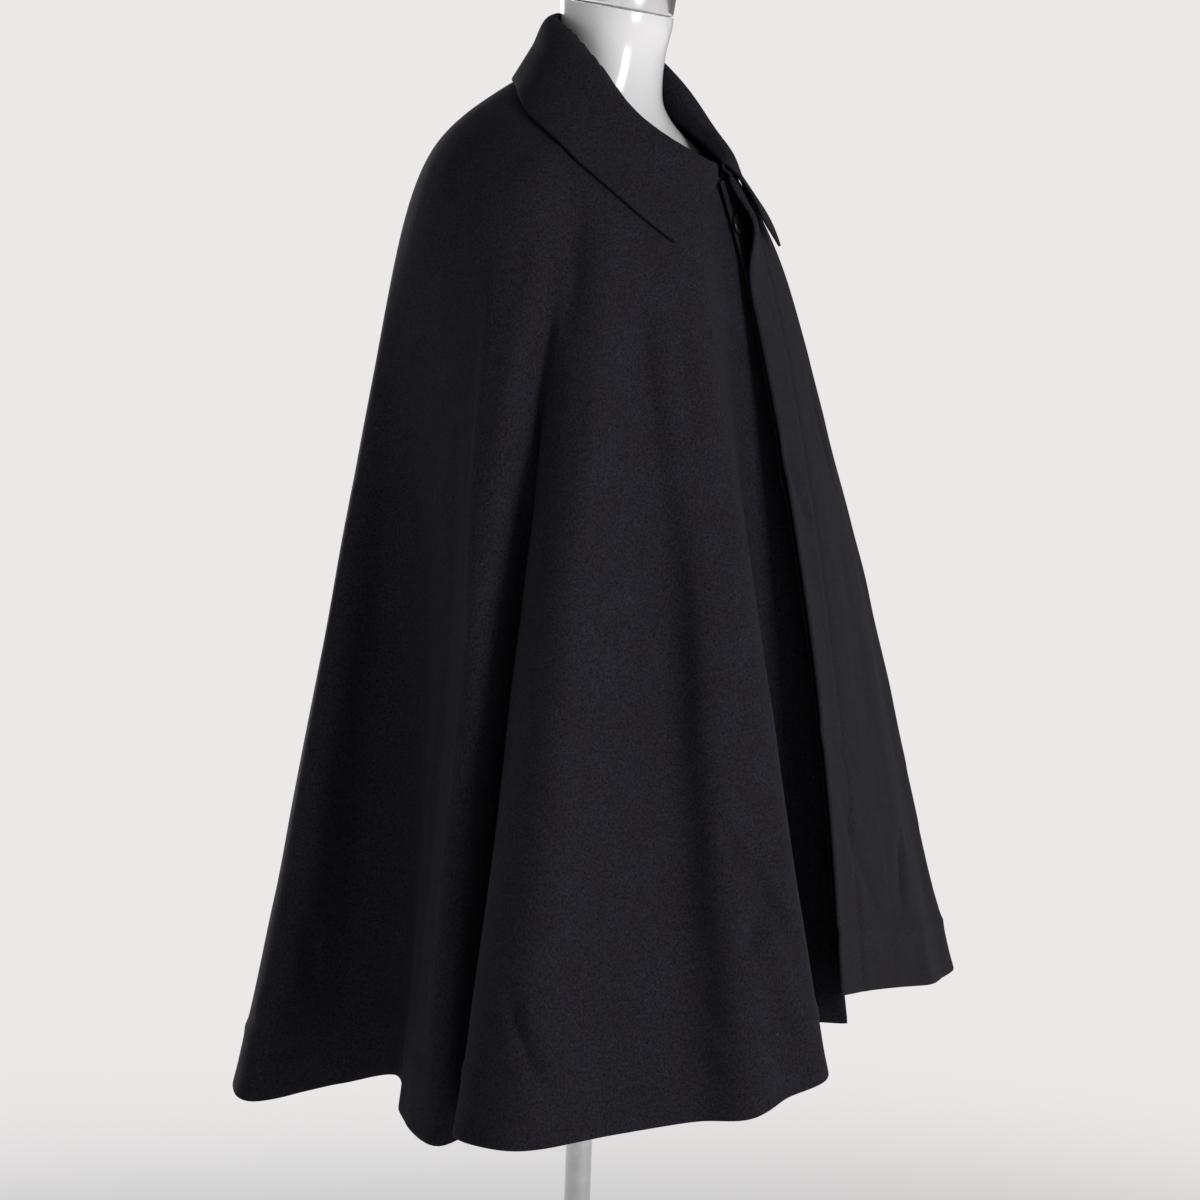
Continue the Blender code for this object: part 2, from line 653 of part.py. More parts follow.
def build_stand():
    up = (0, 0, 1)
    top = FORM["height"][-1]
    middle_y = (FORM["back"][-1] - FORM["front"][-1]) / 2
    cap_axis = (0, -math.sin(NECK_TILT), math.cos(NECK_TILT))
    seat = np.array([0, middle_y, top + middle_y * math.tan(NECK_TILT)])
    profile = [
        (0, SEAM_GAP),
        (CAP_RADIUS, SEAM_GAP),
        (CAP_RADIUS, CAP_HEIGHT - CAP_EDGE),
        (CAP_RADIUS - CAP_EDGE * 0.3, CAP_HEIGHT - CAP_EDGE * 0.3),
        (CAP_RADIUS - CAP_EDGE, CAP_HEIGHT),
        (0, CAP_HEIGHT + 0.004),
    ]
    turned("neck_cap", profile, 40, seat, cap_axis, "chrome")

    underside = FORM["height"][0]
    flange_low = underside - SEAM_GAP - FLANGE_THICKNESS
    profile = [
        (0, BASE_THICKNESS + SEAM_GAP),
        (POLE_RADIUS, BASE_THICKNESS + SEAM_GAP),
        (POLE_RADIUS, flange_low),
        (FLANGE_RADIUS, flange_low),
        (FLANGE_RADIUS, underside - SEAM_GAP),
        (0, underside - SEAM_GAP),
    ]
    turned("stand_pole", profile, 24, (0, 0, 0), up, "chrome")

    profile = [
        (0, 0),
        (BASE_RADIUS, 0),
        (BASE_RADIUS, BASE_THICKNESS - BASE_EDGE),
        (BASE_RADIUS - BASE_EDGE, BASE_THICKNESS),
        (0, BASE_THICKNESS),
    ]
    turned("stand_base", profile, 48, (0, 0, 0), up, "chrome")
    build_boss()


def build_boss():
    """The ring on the base that the pole stands in."""
    inside = POLE_RADIUS + SEAM_GAP
    low = BASE_THICKNESS + SEAM_GAP
    profile = [
        (inside, low),
        (BOSS_RADIUS, low),
        (BOSS_RADIUS, low + BOSS_HEIGHT * 0.8),
        (BOSS_RADIUS - 0.006, low + BOSS_HEIGHT),
        (inside, low + BOSS_HEIGHT),
    ]
    sides = 24
    points = [
        (radius * math.cos(2 * math.pi * k / sides), radius * math.sin(2 * math.pi * k / sides), height)
        for radius, height in profile
        for k in range(sides)
    ]
    faces = []
    for i in range(len(profile)):
        i2 = (i + 1) % len(profile)
        for k in range(sides):
            k2 = (k + 1) % sides
            faces.append([i * sides + k, i * sides + k2, i2 * sides + k2, i2 * sides + k])
    made = add_object("stand_boss", points, faces, "chrome")
    face_outwards(made)


def main():
    clear_scene()
    bearing, flat, inner, outer = cape_grids()
    build_panels(bearing, inner, outer)
    build_fly(flat)
    build_collar(bearing, inner, outer)
    build_form()
    build_stand()


main()
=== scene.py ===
"""The looks of a black wool cape coat on a white dress form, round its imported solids.

The coat faces -Y, the wearer's right is -X and +Z is up. A bearing is an angle round the coat, seen
from above: 0 at the centre front, 90 at the wearer's right shoulder and 180 at the centre back.
"""
import json
import math

import bpy
import numpy as np
from mathutils import Matrix, Vector, noise

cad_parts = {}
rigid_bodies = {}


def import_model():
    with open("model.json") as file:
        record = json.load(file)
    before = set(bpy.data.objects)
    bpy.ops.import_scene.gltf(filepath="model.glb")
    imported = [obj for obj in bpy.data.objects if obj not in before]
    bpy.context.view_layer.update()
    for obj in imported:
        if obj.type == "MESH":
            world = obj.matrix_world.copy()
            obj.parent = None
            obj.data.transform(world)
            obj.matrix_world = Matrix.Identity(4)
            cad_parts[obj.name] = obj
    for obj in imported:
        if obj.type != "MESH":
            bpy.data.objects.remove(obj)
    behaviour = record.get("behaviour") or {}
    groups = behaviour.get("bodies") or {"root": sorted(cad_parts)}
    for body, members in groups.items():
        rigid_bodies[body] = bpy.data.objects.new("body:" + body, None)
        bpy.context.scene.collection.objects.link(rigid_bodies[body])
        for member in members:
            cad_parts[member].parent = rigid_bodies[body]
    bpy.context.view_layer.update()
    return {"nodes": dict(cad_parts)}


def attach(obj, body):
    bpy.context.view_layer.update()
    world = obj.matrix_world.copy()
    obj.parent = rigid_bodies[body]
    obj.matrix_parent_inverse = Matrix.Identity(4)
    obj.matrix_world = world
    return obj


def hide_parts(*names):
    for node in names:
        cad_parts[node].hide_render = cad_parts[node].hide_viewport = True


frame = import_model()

# Thicknesses of the cloth in metres, and the gaps that keep the pieces apart
CLOTH = 0.0025
FLY_PLY = 0.0018
COLLAR_CLOTH = 0.0028
SEAM_GAP = 0.0003
FORM_GAP = 0.0010

# The axis of the bearings stands this far behind the form's
AXIS_Y = 0.005

# The collar's section: the slack over its seam, how its stand starts and leans, and its turn
COLLAR_SEAM_SLACK = 0.0005
STAND_START = 0.004
STAND_LEAN = 0.001
STAND_LINE = 0.030
FOLD_WIDTH = 0.0035
FOLD_ROUNDING = 0.001

# The share of the fall that the folds take to form, the arc that they are evened out over, and
# the bearings that this stays between, with its ease at either end
FOLD_FADE = 0.42
FOLD_SPREAD = 16.0
FOLD_FREE = (20.0, 320.0)
FOLD_EASE = 25.0

# Fineness of the shells, and of the coarse cape that the collar's edge is measured on
CAPE_COLUMNS = 640
SHOULDER_ROWS = 36
FALL_ROWS = 112
SHOULDER_SHARE = 0.24
COARSE_COLUMNS = 124
COARSE_SHOULDER_ROWS = 7
COARSE_FALL_ROWS = 9
COLLAR_POINTS = 44
FLY_COLUMNS = 25
FORM_COLUMNS = 144
FORM_STEPS = 9
ROUND_SIDES = 96
ARC_STEPS = 6
ARC_SHARE = 0.45

# Edges that turn by more degrees than this are sharp
CLOTH_SHARP, FORM_SHARP, TURNED_SHARP = 60, 50, 35

# Points on the curves that the grids are read from
HEM_STEPS = 4000
COLUMN_STEPS = 300
SECTION_STEPS = 200
SECTION_POWER = 0.8

# A shell's rim: the strips round it, and how full it is
RIM_STEPS = 4
RIM_FULLNESS = 0.8

# Keeping cloth off the form: how near it is looked at, in how many rounds and steps it moves
NEAR_FORM = 0.06
SLOPE_STEP = 1e-4
PUSH_ROUNDS = 5
LONGEST_PUSH = 0.01
FACET_ROUNDS = 6
FACET_PUSH = 0.6

# Where the two fronts overlap, and how far the right one is tucked in under the left
UNDERLAP_BEARING = -20.0
OVERLAP_BEARING = 355.0
TUCK = 0.0118
TUCK_UNTIL = 2.0
TUCK_FADE = 26.0

# The fly front: a ply under the left front's edge, with the buttons between the two. By the neck
# the ply comes out past the edge, and the edge gapes.
FLY = {
    "from_edge": (0.009, 0.018, 0.028, 0.040, 0.054),
    "room": (0.0044, 0.0044, 0.0044, 0.0030, 0.0012),
}
FLY_OUT = 0.019
FLY_OUT_LENGTH = 0.085
FLY_OUT_AIM = 0.02
FLY_LENGTH = 0.66
GAPE = 0.014
GAPE_AT = 0.046
GAPE_LENGTH = 0.028
GAPE_REACH = 0.030
GAPE_FROM = 320

# The buttons. A profile's radii are shares of the button's, its heights of half its thickness.
BUTTON_ROOM = 0.0044
BUTTON_RADIUS = 0.0095
BUTTON_THICKNESS = 0.0028
BUTTON_FROM_EDGE = (0.006, 0.024, 0.024, 0.024)
FIRST_BUTTON = 0.042
BUTTON_STEP = 0.145
BUTTON_PROFILE = (
    (0, -1), (0.8, -1), (1, -0.3), (1, 0.6), (0.9, 1), (0.72, 1), (0.62, 0.4), (0.55, 0.4),
)
BUTTON_ROUNDING = 0.0005
BUTTON_FACE = (0.97, 0.03)
BUTTON_FACE_RINGS = 30
BUTTON_HOLE_AT = 0.17
BUTTON_HOLE = 0.09

# The seams from the neck over each shoulder and down the side, as bearings at the shoulder
RIGHT_SEAM = 152.0
LEFT_SEAM = 226.0

NECKLINE = {
    "bearing": (0, 28, 47, 70, 94, 130, 180),
    "reach": (0.1166, 0.1107, 0.1008, 0.0850, 0.0761, 0.0731, 0.0721),
    "height": (1.323, 1.331, 1.346, 1.372, 1.394, 1.411, 1.420),
}

SHOULDER = {
    "bearing": (0, 30, 60, 90, 120, 150, 180),
    "reach": (0.151, 0.158, 0.186, 0.211, 0.207, 0.189, 0.179),
    "height": (1.215, 1.245, 1.296, 1.335, 1.345, 1.345, 1.340),
    "weight": (1.6, 2.1, 2.8, 3.6, 4.0, 4.0, 4.0),
}

COLLAR_FOLD = {
    "bearing": (0, 28, 47, 70, 94, 130, 180),
    "reach": (0.1107, 0.1028, 0.0889, 0.0736, 0.0652, 0.0593, 0.0568),
    "height": (1.336, 1.354, 1.378, 1.418, 1.4445, 1.462, 1.470),
}

# The collar's leaf: how far its edge lies down the cape and off it, and how its middle swells
LEAF = {
    "bearing": (7, 24, 38, 56, 76, 98, 110, 122, 180, 238, 262, 284, 304, 322, 338, 351),
    "drop": (0.004, 0.035, 0.088, 0.083, 0.078, 0.061, 0.041, 0.027,
             0.015, 0.034, 0.064, 0.074, 0.080, 0.087, 0.036, 0.004),
    "lift": (0.005, 0.005, 0.0045, 0.0045, 0.0045, 0.0045, 0.0045, 0.003,
             0.003, 0.004, 0.004, 0.005, 0.006, 0.011, 0.008, 0.007),
    "swell": (0.001, 0.001, 0.0015, 0.0015, 0.0015, 0.001, 0.0, 0.0,
              0.0, 0.001, 0.001, 0.001, 0.0, -0.001, 0.0, 0.0),
    "set_in": (0.0, 0.0, 0.0, 0.0, 0.0, 0.001, 0.001, 0.0015,
               0.0, 0.0, 0.001, 0.003, 0.004, 0.004, 0.003, 0.0),
}
LEAF_CORNERS = [0, 1, 2, -3, -2, -1]
LEAF_TIPS = (0, 2, -3, -1)
LEAF_ROUNDS = 4
LEAF_FINE_ROUNDS = 30

# The hem's points round the coat. A bow swells the fall between the shoulder and the hem.
HEM = (
    # name, bearing, x, y, height, bow
    ("right_edge", UNDERLAP_BEARING, 0.029, -0.261, 0.562, 0.004),
    ("front_hollow", 6, 0.022, -0.210, 0.556, -0.004),
    ("front_crest", 31, -0.123, -0.311, 0.549, 0.004),
    ("front_trough", 37, -0.165, -0.296, 0.540, 0.006),
    ("front_panel_a", 43, -0.208, -0.286, 0.530, -0.004),
    ("front_panel_b", 48.5, -0.223, -0.244, 0.524, -0.012),
    ("front_panel_c", 55, -0.276, -0.194, 0.516, -0.002),
    ("panel_crest", 60.5, -0.342, -0.143, 0.508, 0.014),
    ("panel_flank", 64.5, -0.347, -0.110, 0.506, 0.006),
    ("panel_end", 70, -0.325, -0.068, 0.503, -0.012),
    ("side_hollow", 75, -0.212, -0.036, 0.495, -0.014),
    ("side_crest", 80.5, -0.280, -0.022, 0.476, 0.010),
    ("side_flank", 91, -0.233, 0.047, 0.481, -0.008),
    ("back_hollow", 108, -0.154, 0.108, 0.491, -0.010),
    ("back_flank", 121, -0.164, 0.166, 0.475, -0.010),
    ("back_crest", 134, -0.244, 0.211, 0.468, -0.010),
    ("back_turn", 143, -0.190, 0.258, 0.471, -0.010),
    ("hidden_hollow_1", 152, -0.123, 0.244, 0.473, -0.008),
    ("hidden_crest_1", 162, -0.066, 0.319, 0.467, -0.006),
    ("hidden_hollow_2", 174, 0.004, 0.268, 0.469, -0.006),
    ("hidden_crest_2", 187, 0.082, 0.342, 0.467, -0.006),
    ("hidden_hollow_3", 199, 0.127, 0.256, 0.471, -0.006),
    ("hidden_crest_3", 213, 0.220, 0.307, 0.473, -0.006),
    ("hidden_hollow_4", 226, 0.217, 0.195, 0.477, -0.004),
    ("hidden_crest_4", 240, 0.333, 0.210, 0.479, -0.002),
    ("hidden_hollow_5", 254, 0.268, 0.102, 0.485, 0.0),
    ("left_crest", 267, 0.399, 0.056, 0.492, 0.002),
    ("left_panel_a", 279, 0.410, -0.036, 0.507, 0.002),
    ("left_panel_b", 290, 0.424, -0.118, 0.523, 0.002),
    ("left_panel_c", 300, 0.401, -0.197, 0.536, 0.002),
    ("left_panel_d", 311, 0.317, -0.223, 0.544, 0.002),
    ("left_panel_e", 322, 0.238, -0.248, 0.557, 0.003),
    ("left_panel_f", 334, 0.156, -0.254, 0.571, 0.008),
    ("left_panel_g", 345, 0.072, -0.262, 0.585, 0.010),
    ("left_edge", OVERLAP_BEARING, -0.0105, -0.2715, 0.597, 0.014),
)

# The form's sections, from its underside to the top of its neck
FORM = {
    "height": (0.745, 0.75, 0.765, 0.80, 0.87, 0.94, 1.00, 1.06, 1.12, 1.18,
               1.24, 1.28, 1.31, 1.33, 1.35, 1.37, 1.39, 1.41, 1.44, 1.475),
    "half_width": (0.128, 0.142, 0.156, 0.165, 0.158, 0.140, 0.132, 0.144, 0.164, 0.182,
                   0.193, 0.190, 0.182, 0.168, 0.139, 0.088, 0.058, 0.0505, 0.0495, 0.0515),
    "front": (0.066, 0.082, 0.096, 0.105, 0.105, 0.099, 0.096, 0.104, 0.112, 0.108,
              0.092, 0.077, 0.064, 0.055, 0.045, 0.037, 0.034, 0.0350, 0.0385, 0.0455),
    "back": (0.070, 0.088, 0.102, 0.111, 0.109, 0.096, 0.092, 0.104, 0.118, 0.129,
             0.131, 0.126, 0.118, 0.110, 0.099, 0.085, 0.071, 0.0620, 0.0585, 0.0585),
}
FORM_SQUARENESS = 2.35
NECK_ROUND_FROM = 1.33
NECK_ROUND_OVER = 0.08
NECK_TILT = math.radians(9)
NECK_TILT_FROM = 1.40

CAP_RADIUS = 0.0525
CAP_HEIGHT = 0.036
CAP_EDGE = 0.004
POLE_RADIUS = 0.0125
POLE_EDGE = 0.0015
FLANGE_RADIUS = 0.040
FLANGE_THICKNESS = 0.006
BASE_RADIUS = 0.170
BASE_THICKNESS = 0.012
BASE_EDGE = 0.003
BOSS_RADIUS = 0.026
BOSS_HEIGHT = 0.030
BOSS_STRAIGHT = 0.8
BOSS_TAPER = 0.006
BOSS_EDGE = 0.002

# Relief on the cape: the hem's turned-up edge, the fly's stitched line and the thicker edges
HEM_TURN = 0.055
HEM_TURN_WIDTH = 0.006
HEM_TURN_RELIEF = 0.0010
HEM_TURN_PLY = 0.6
FLY_LINE = 0.060
FLY_LINE_WIDTH = 0.005
FLY_LINE_RELIEF = 0.0014
FLY_LINE_FROM = 300
EDGE_THICKENING = 0.0009
EDGE_WIDTH = 0.012

# Soft waves in the cloth, which grow down from the neck
SOFT_WAVES = (
    # size along each axis, seed, depth
    ((0.060, 0.060, 0.300), 3.1, 0.0022),
    ((0.022, 0.022, 0.090), 9.7, 0.0006),
)
SOFT_FADE = 0.30

# Creases and small ridges in the cloth, from one end to the other. A negative depth is a trough.
CREASES = (
    # name, bearing, height, to bearing, to height, width, depth
    ("hem_press", 63.4, 0.638, 58.6, 0.546, 0.0060, -0.0060),
    ("hem_press_side", 62.2, 0.630, 57.8, 0.556, 0.0092, 0.0036),
    ("bent_upper", 42.5, 0.765, 37.0, 0.724, 0.0075, -0.0080),
    ("bent_lower", 37.5, 0.728, 33.5, 0.672, 0.0080, -0.0095),
    ("bent_branch", 36.5, 0.702, 41.0, 0.662, 0.0066, -0.0070),
    ("front_ridge", 37.8, 0.696, 33.2, 0.577, 0.0115, 0.0080),
    ("panel_trough_1", 45.5, 1.060, 49.0, 0.830, 0.0280, -0.0080),
    ("panel_trough_2", 49.0, 0.860, 48.0, 0.560, 0.0300, -0.0070),
    ("side_ridge_1", 88.5, 1.220, 81.5, 0.900, 0.0100, 0.0056),
    ("side_ridge_2", 81.6, 0.930, 83.5, 0.540, 0.0110, 0.0050),
    ("side_ridge_3", 77.0, 1.124, 71.5, 0.780, 0.0110, 0.0040),
    ("side_dip", 95.0, 1.120, 90.0, 0.580, 0.0160, -0.0046),
    ("back_dip", 117.5, 1.080, 117.0, 0.580, 0.0300, -0.0070),
    ("back_rim", 131.0, 1.020, 130.0, 0.540, 0.0180, 0.0056),
    ("chest_1", 82.5, 1.290, 81.0, 1.190, 0.0138, -0.0046),
    ("chest_2", 69.5, 1.292, 68.0, 1.190, 0.0126, -0.0065),
    ("chest_3", 50.5, 1.215, 49.0, 1.095, 0.0115, -0.0049),
    ("chest_4", 39.0, 1.207, 40.0, 1.085, 0.0103, -0.0046),
    ("shoulder_1", 105.0, 1.337, 102.0, 1.240, 0.0172, -0.0031),
    ("hem_pucker_1", 52.0, 0.609, 45.0, 0.588, 0.0069, 0.0034),
    ("hem_pucker_2", 50.5, 0.585, 46.5, 0.566, 0.0069, -0.0030),
    ("hem_pucker_3", 57.0, 0.590, 54.5, 0.574, 0.0063, 0.0027),
    ("back_low_1", 137.0, 0.556, 131.0, 0.536, 0.0069, 0.0034),
    ("back_low_2", 134.0, 0.505, 126.0, 0.518, 0.0069, -0.0034),
    ("back_low_3", 130.0, 0.640, 127.0, 0.570, 0.0103, -0.0038),
    ("edge_pull_1", 355.0, 0.834, 342.0, 0.791, 0.0092, -0.0034),
    ("edge_pull_2", 350.0, 0.765, 340.0, 0.656, 0.0115, -0.0042),
    ("edge_pull_3", 354.0, 1.080, 346.0, 1.010, 0.0092, -0.0030),
    ("back_1", 165.0, 0.800, 171.0, 0.660, 0.0149, -0.0050),
    ("back_2", 181.0, 0.620, 185.5, 0.548, 0.0057, -0.0038),
    ("back_3", 190.0, 1.250, 189.0, 1.120, 0.0138, -0.0046),
    ("back_4", 206.0, 1.225, 208.0, 1.085, 0.0138, -0.0049),
    ("back_5", 216.0, 0.745, 209.0, 0.660, 0.0075, -0.0053),
    ("back_6", 160.0, 1.240, 158.5, 1.130, 0.0138, -0.0038),
    ("left_1", 250.0, 1.250, 252.0, 1.120, 0.0138, -0.0046),
    ("left_2", 268.0, 0.765, 274.5, 0.690, 0.0069, -0.0057),
    ("left_3", 276.0, 0.702, 271.0, 0.662, 0.0063, -0.0046),
    ("left_4", 290.0, 1.185, 291.5, 1.060, 0.0115, -0.0049),
    ("left_5", 300.0, 0.810, 302.0, 0.620, 0.0172, -0.0059),
    ("left_6", 284.5, 0.628, 289.5, 0.548, 0.0057, -0.0042),
    ("left_7", 318.0, 1.150, 317.0, 1.030, 0.0115, -0.0042),
    ("left_8", 322.0, 0.710, 328.5, 0.640, 0.0092, -0.0046),
    ("left_9", 262.0, 0.600, 268.0, 0.560, 0.0080, 0.0034),
)
CREASE_STEPS = 48
CREASE_ARC = 16
CREASE_TIP = 0.02

# The colours of the materials
WOOL_DARK, WOOL_LIGHT = (0.0120, 0.0108, 0.0146), (0.0140, 0.0132, 0.0186)
FIBRE_DARK, FIBRE_LIGHT = (0.25, 0.25, 0.26), (2.0, 2.0, 2.1)
LINT = (0.16, 0.16, 0.18, 1)
NAP_TINT = (0.80, 0.82, 1.0, 1)
FORM_DARK, FORM_LIGHT = (0.80, 0.80, 0.815), (0.84, 0.84, 0.85)
CHROME_DARK, CHROME_LIGHT = (0.70, 0.70, 0.72), (0.80, 0.80, 0.82)
BUTTON_DARK, BUTTON_LIGHT = (0.008, 0.008, 0.009), (0.018, 0.017, 0.018)
BLACK, WHITE = (0, 0, 0), (1, 1, 1)

# The floor is plain by the stand and fades to the background's colour away from it
BACKGROUND = (0.83, 0.81, 0.80)
AMBIENT = 0.23
FLOOR_COLOUR = (0.78, 0.77, 0.76, 1)
FLOOR_RADIUS = 14.0
FLOOR_PLAIN = 0.7
FLOOR_FADED = 2.0

LIGHTS = (
    # name, place, target, size, watts, colour
    ("window", (-0.85, -3.05, 1.7), (0, 0, 0.95), (1.0, 1.5), 60, (1.0, 0.99, 0.98)),
    ("wall_glow", (2.2, 2.5, 1.3), (0, 0, 0.85), (2.4, 2.0), 80, (0.94, 0.96, 1.0)),
)

# The camera looks down by the angle that puts the horizon this many pixels above the middle
PICTURE_SIDE = 1200
FOCAL_PIXELS = 3118
HORIZON_PIXELS = 350
SENSOR_WIDTH = 36
CAMERA_PLACE = (-2.5114, -1.45, 1.2555)
CAMERA_HEADING = math.radians(30)
CAMERA_PITCH = math.atan(HORIZON_PIXELS / FOCAL_PIXELS)
CAMERA_ROLL = math.asin(0.0384)


def smooth_step(share):
    share = np.clip(share, 0.0, 1.0)
    return share * share * (3 - 2 * share)


def hermite(low, high, low_slope, high_slope, step, t):
    """The smooth curve from one value to the next, with their slopes, at a share t of the step."""
    return (
        low * (1 + 2 * t) * (1 - t) ** 2
        + low_slope * step * t * (1 - t) ** 2
        + high * t * t * (3 - 2 * t)
        + high_slope * step * t * t * (t - 1)
    )


def read(table, column, at):
    """A table's column read at some value of its first column, along a smooth curve."""
    x = np.array(next(iter(table.values())), float)
    y = np.array(table[column], float)
    slope = np.gradient(y, x)
    slope[0] = slope[-1] = 0.0
    at = np.clip(at, x[0], x[-1])
    i = np.clip(np.searchsorted(x, at, side="right") - 1, 0, len(x) - 2)
    step = x[i + 1] - x[i]
    return hermite(y[i], y[i + 1], slope[i], slope[i + 1], step, (at - x[i]) / step)


def folded(bearing):
    """A bearing on either side, as 0 at the front to 180 at the back."""
    return np.abs((bearing + 180) % 360 - 180)


def at_bearing(bearing, reach, height):
    angle = np.radians(bearing)
    x, y = -np.sin(angle) * reach, AXIS_Y - np.cos(angle) * reach
    return np.stack([x, y, np.broadcast_to(height, np.shape(x))], axis=-1)


def outwards_at(bearing):
    return at_bearing(bearing, 1.0, 0.0) - at_bearing(bearing, 0.0, 0.0)


def from_table(table, bearing):
    side = folded(bearing)
    return at_bearing(bearing, read(table, "reach", side), read(table, "height", side))


def along_curve(rows, knot, at):
    """Rows on the smooth curve through some rows that lie at some knots."""
    slope = np.gradient(rows, knot, axis=0)
    i = np.clip(np.searchsorted(knot, at, side="right") - 1, 0, len(knot) - 2)
    step = (knot[i + 1] - knot[i])[:, None]
    t = ((at - knot[i]) / step[:, 0])[:, None]
    return hermite(rows[i], rows[i + 1], slope[i], slope[i + 1], step, t)


def on_line(at, along, line):
    """The points of a line at some distances along it, or the point at one distance."""
    return np.stack([np.interp(at, along, line[:, axis]) for axis in range(3)], axis=-1)


def lengths(points, axis=0):
    """Distances along a line of points, or along every line of a grid of them."""
    steps = np.linalg.norm(np.diff(points, axis=axis), axis=-1)
    start = np.zeros_like(np.take(steps, [0], axis=axis))
    return np.concatenate([start, np.cumsum(steps, axis=axis)], axis=axis)


def through(rows, count):
    """Evenly spaced rows on the curve through some rows. Their x and y are columns 1 and 2."""
    rows = np.array(rows, float)
    chord = np.sqrt(np.linalg.norm(np.diff(rows[:, 1:3], axis=0), axis=1))
    knot = np.concatenate([[0.0], np.cumsum(chord)])
    fine = np.linspace(0, knot[-1], HEM_STEPS)
    along = lengths(along_curve(rows, knot, fine)[:, 1:3])
    return along_curve(rows, knot, np.interp(np.linspace(0, along[-1], count), along, fine))


def form_section(height):
    """The form's half width, front depth and back depth at some heights."""
    return [read(FORM, column, height) for column in ("half_width", "front", "back")]


def outside_form(points):
    """Above 0 outside the form, below 0 inside it."""
    half_width, front, back = form_section(points[..., 2])
    depth = np.where(points[..., 1] < 0, front, back)
    power = FORM_SQUARENESS
    share = (np.abs(points[..., 0]) / half_width) ** power
    share = share + (np.abs(points[..., 1]) / depth) ** power
    return share ** (1 / power) - 1


def rest_on_form(points, gap):
    """Points nearer to the form than the gap, moved out until they clear it by the gap."""
    points = np.array(points)
    flat = points.reshape(-1, 3)
    near = np.flatnonzero(outside_form(flat) < NEAR_FORM)
    steps = SLOPE_STEP * np.eye(3)
    for _ in range(PUSH_ROUNDS):
        some = flat[near]
        value = outside_form(some)
        slope = [(outside_form(some + step) - value) / SLOPE_STEP for step in steps]
        slope = np.stack(slope, axis=-1)
        steep = np.linalg.norm(slope, axis=-1)
        short = np.clip(gap - value / steep, 0, LONGEST_PUSH)
        flat[near] += slope / steep[:, None] * short[:, None]
    return points


def clear_of_form(grid, gap):
    """Moves a grid's points out until the flat facets between them clear the form too."""
    columns, rows = grid.shape[0] - 1, grid.shape[1] - 1
    diagonals = (((0, 0), (1, 1)), ((1, 0), (0, 1)))
    edges = (((0, 0), (1, 0)), ((0, 0), (0, 1)), ((1, 0), (1, 1)), ((0, 1), (1, 1)))
    for _ in range(FACET_ROUNDS):
        for one, other in diagonals + edges:
            a = grid[one[0] : one[0] + columns, one[1] : one[1] + rows]
            b = grid[other[0] : other[0] + columns, other[1] : other[1] + rows]
            middle = (a + b) / 2
            push = (rest_on_form(middle, gap) - middle) * FACET_PUSH
            a += push
            b += push
    return grid


def column_shares(rows_on_shoulder, rows_on_fall):
    """Shares of a column's length, closer together over the shoulder."""
    shoulder = np.linspace(0, SHOULDER_SHARE, rows_on_shoulder, endpoint=False)
    return np.concatenate([shoulder, np.linspace(SHOULDER_SHARE, 1, rows_on_fall + 1)])


def evened(bearing, hem):
    """The hem evened out round the coat, but not beside its front edges."""
    apart = bearing[:, None] - bearing[None]
    near = np.exp(-((apart / FOLD_SPREAD) ** 2))
    even = near @ hem / near.sum(axis=1)[:, None]
    free = smooth_step((bearing - FOLD_FREE[0]) / FOLD_EASE)
    free = free * smooth_step((FOLD_FREE[1] - bearing) / FOLD_EASE)
    return hem + (even - hem) * free[:, None]


def cape_surface(rows, shares):
    """The inner face of the cape, as a grid of columns from the neck to the hem.

    Each row gives a column's bearing at the shoulder, its hem point and its bow.
    """
    bearing, hem, bow = rows[:, 0], rows[:, 1:4], rows[:, 4]
    tuck = TUCK * (1 - smooth_step((bearing - TUCK_UNTIL) / TUCK_FADE))
    outwards = outwards_at(bearing)
    neck = from_table(NECKLINE, bearing) - outwards * tuck[:, None]
    corner = from_table(SHOULDER, bearing) - outwards * tuck[:, None]
    fine = np.linspace(0, 1, COLUMN_STEPS)
    ends = (1 - fine) ** 2, fine**2
    weight = read(SHOULDER, "weight", folded(bearing))
    middle = 2 * fine * (1 - fine) * weight[:, None]
    total = ends[0] + middle + ends[1]
    hung = ends[1] / total
    even = evened(bearing, hem)
    folds = (hem - even)[:, None] * (hung * smooth_step(hung / FOLD_FADE))[..., None]
    path = (
        neck[:, None] * (ends[0] / total)[..., None]
        + corner[:, None] * (middle / total)[..., None]
        + even[:, None] * hung[..., None]
        + folds
    )
    plan = hem - [0, AXIS_Y, 0]
    plan[:, 2] = 0
    plan = plan / np.linalg.norm(plan, axis=1)[:, None]
    fallen = (corner[:, None, 2] - path[..., 2]) / (corner[:, 2] - hem[:, 2])[:, None]
    swell = np.sin(math.pi * np.clip(fallen, 0, 1)) * bow[:, None]
    path = path + plan[:, None] * swell[..., None]
    path = rest_on_form(path, FORM_GAP)
    grid = np.empty((len(rows), len(shares), 3))
    for i, column in enumerate(path):
        length = lengths(column)
        grid[i] = on_line(np.interp(shares * length[-1], length, fine), fine, column)
    return grid


def normals_of(grid):
    """Outward normals of a grid whose columns run round the coat and whose rows run down it."""
    across = np.gradient(grid, axis=0)
    down = np.gradient(grid, axis=1)
    normal = np.cross(down, across)
    normal = normal / np.linalg.norm(normal, axis=-1)[..., None]
    return -normal if (normal[..., 2].mean() < 0) else normal


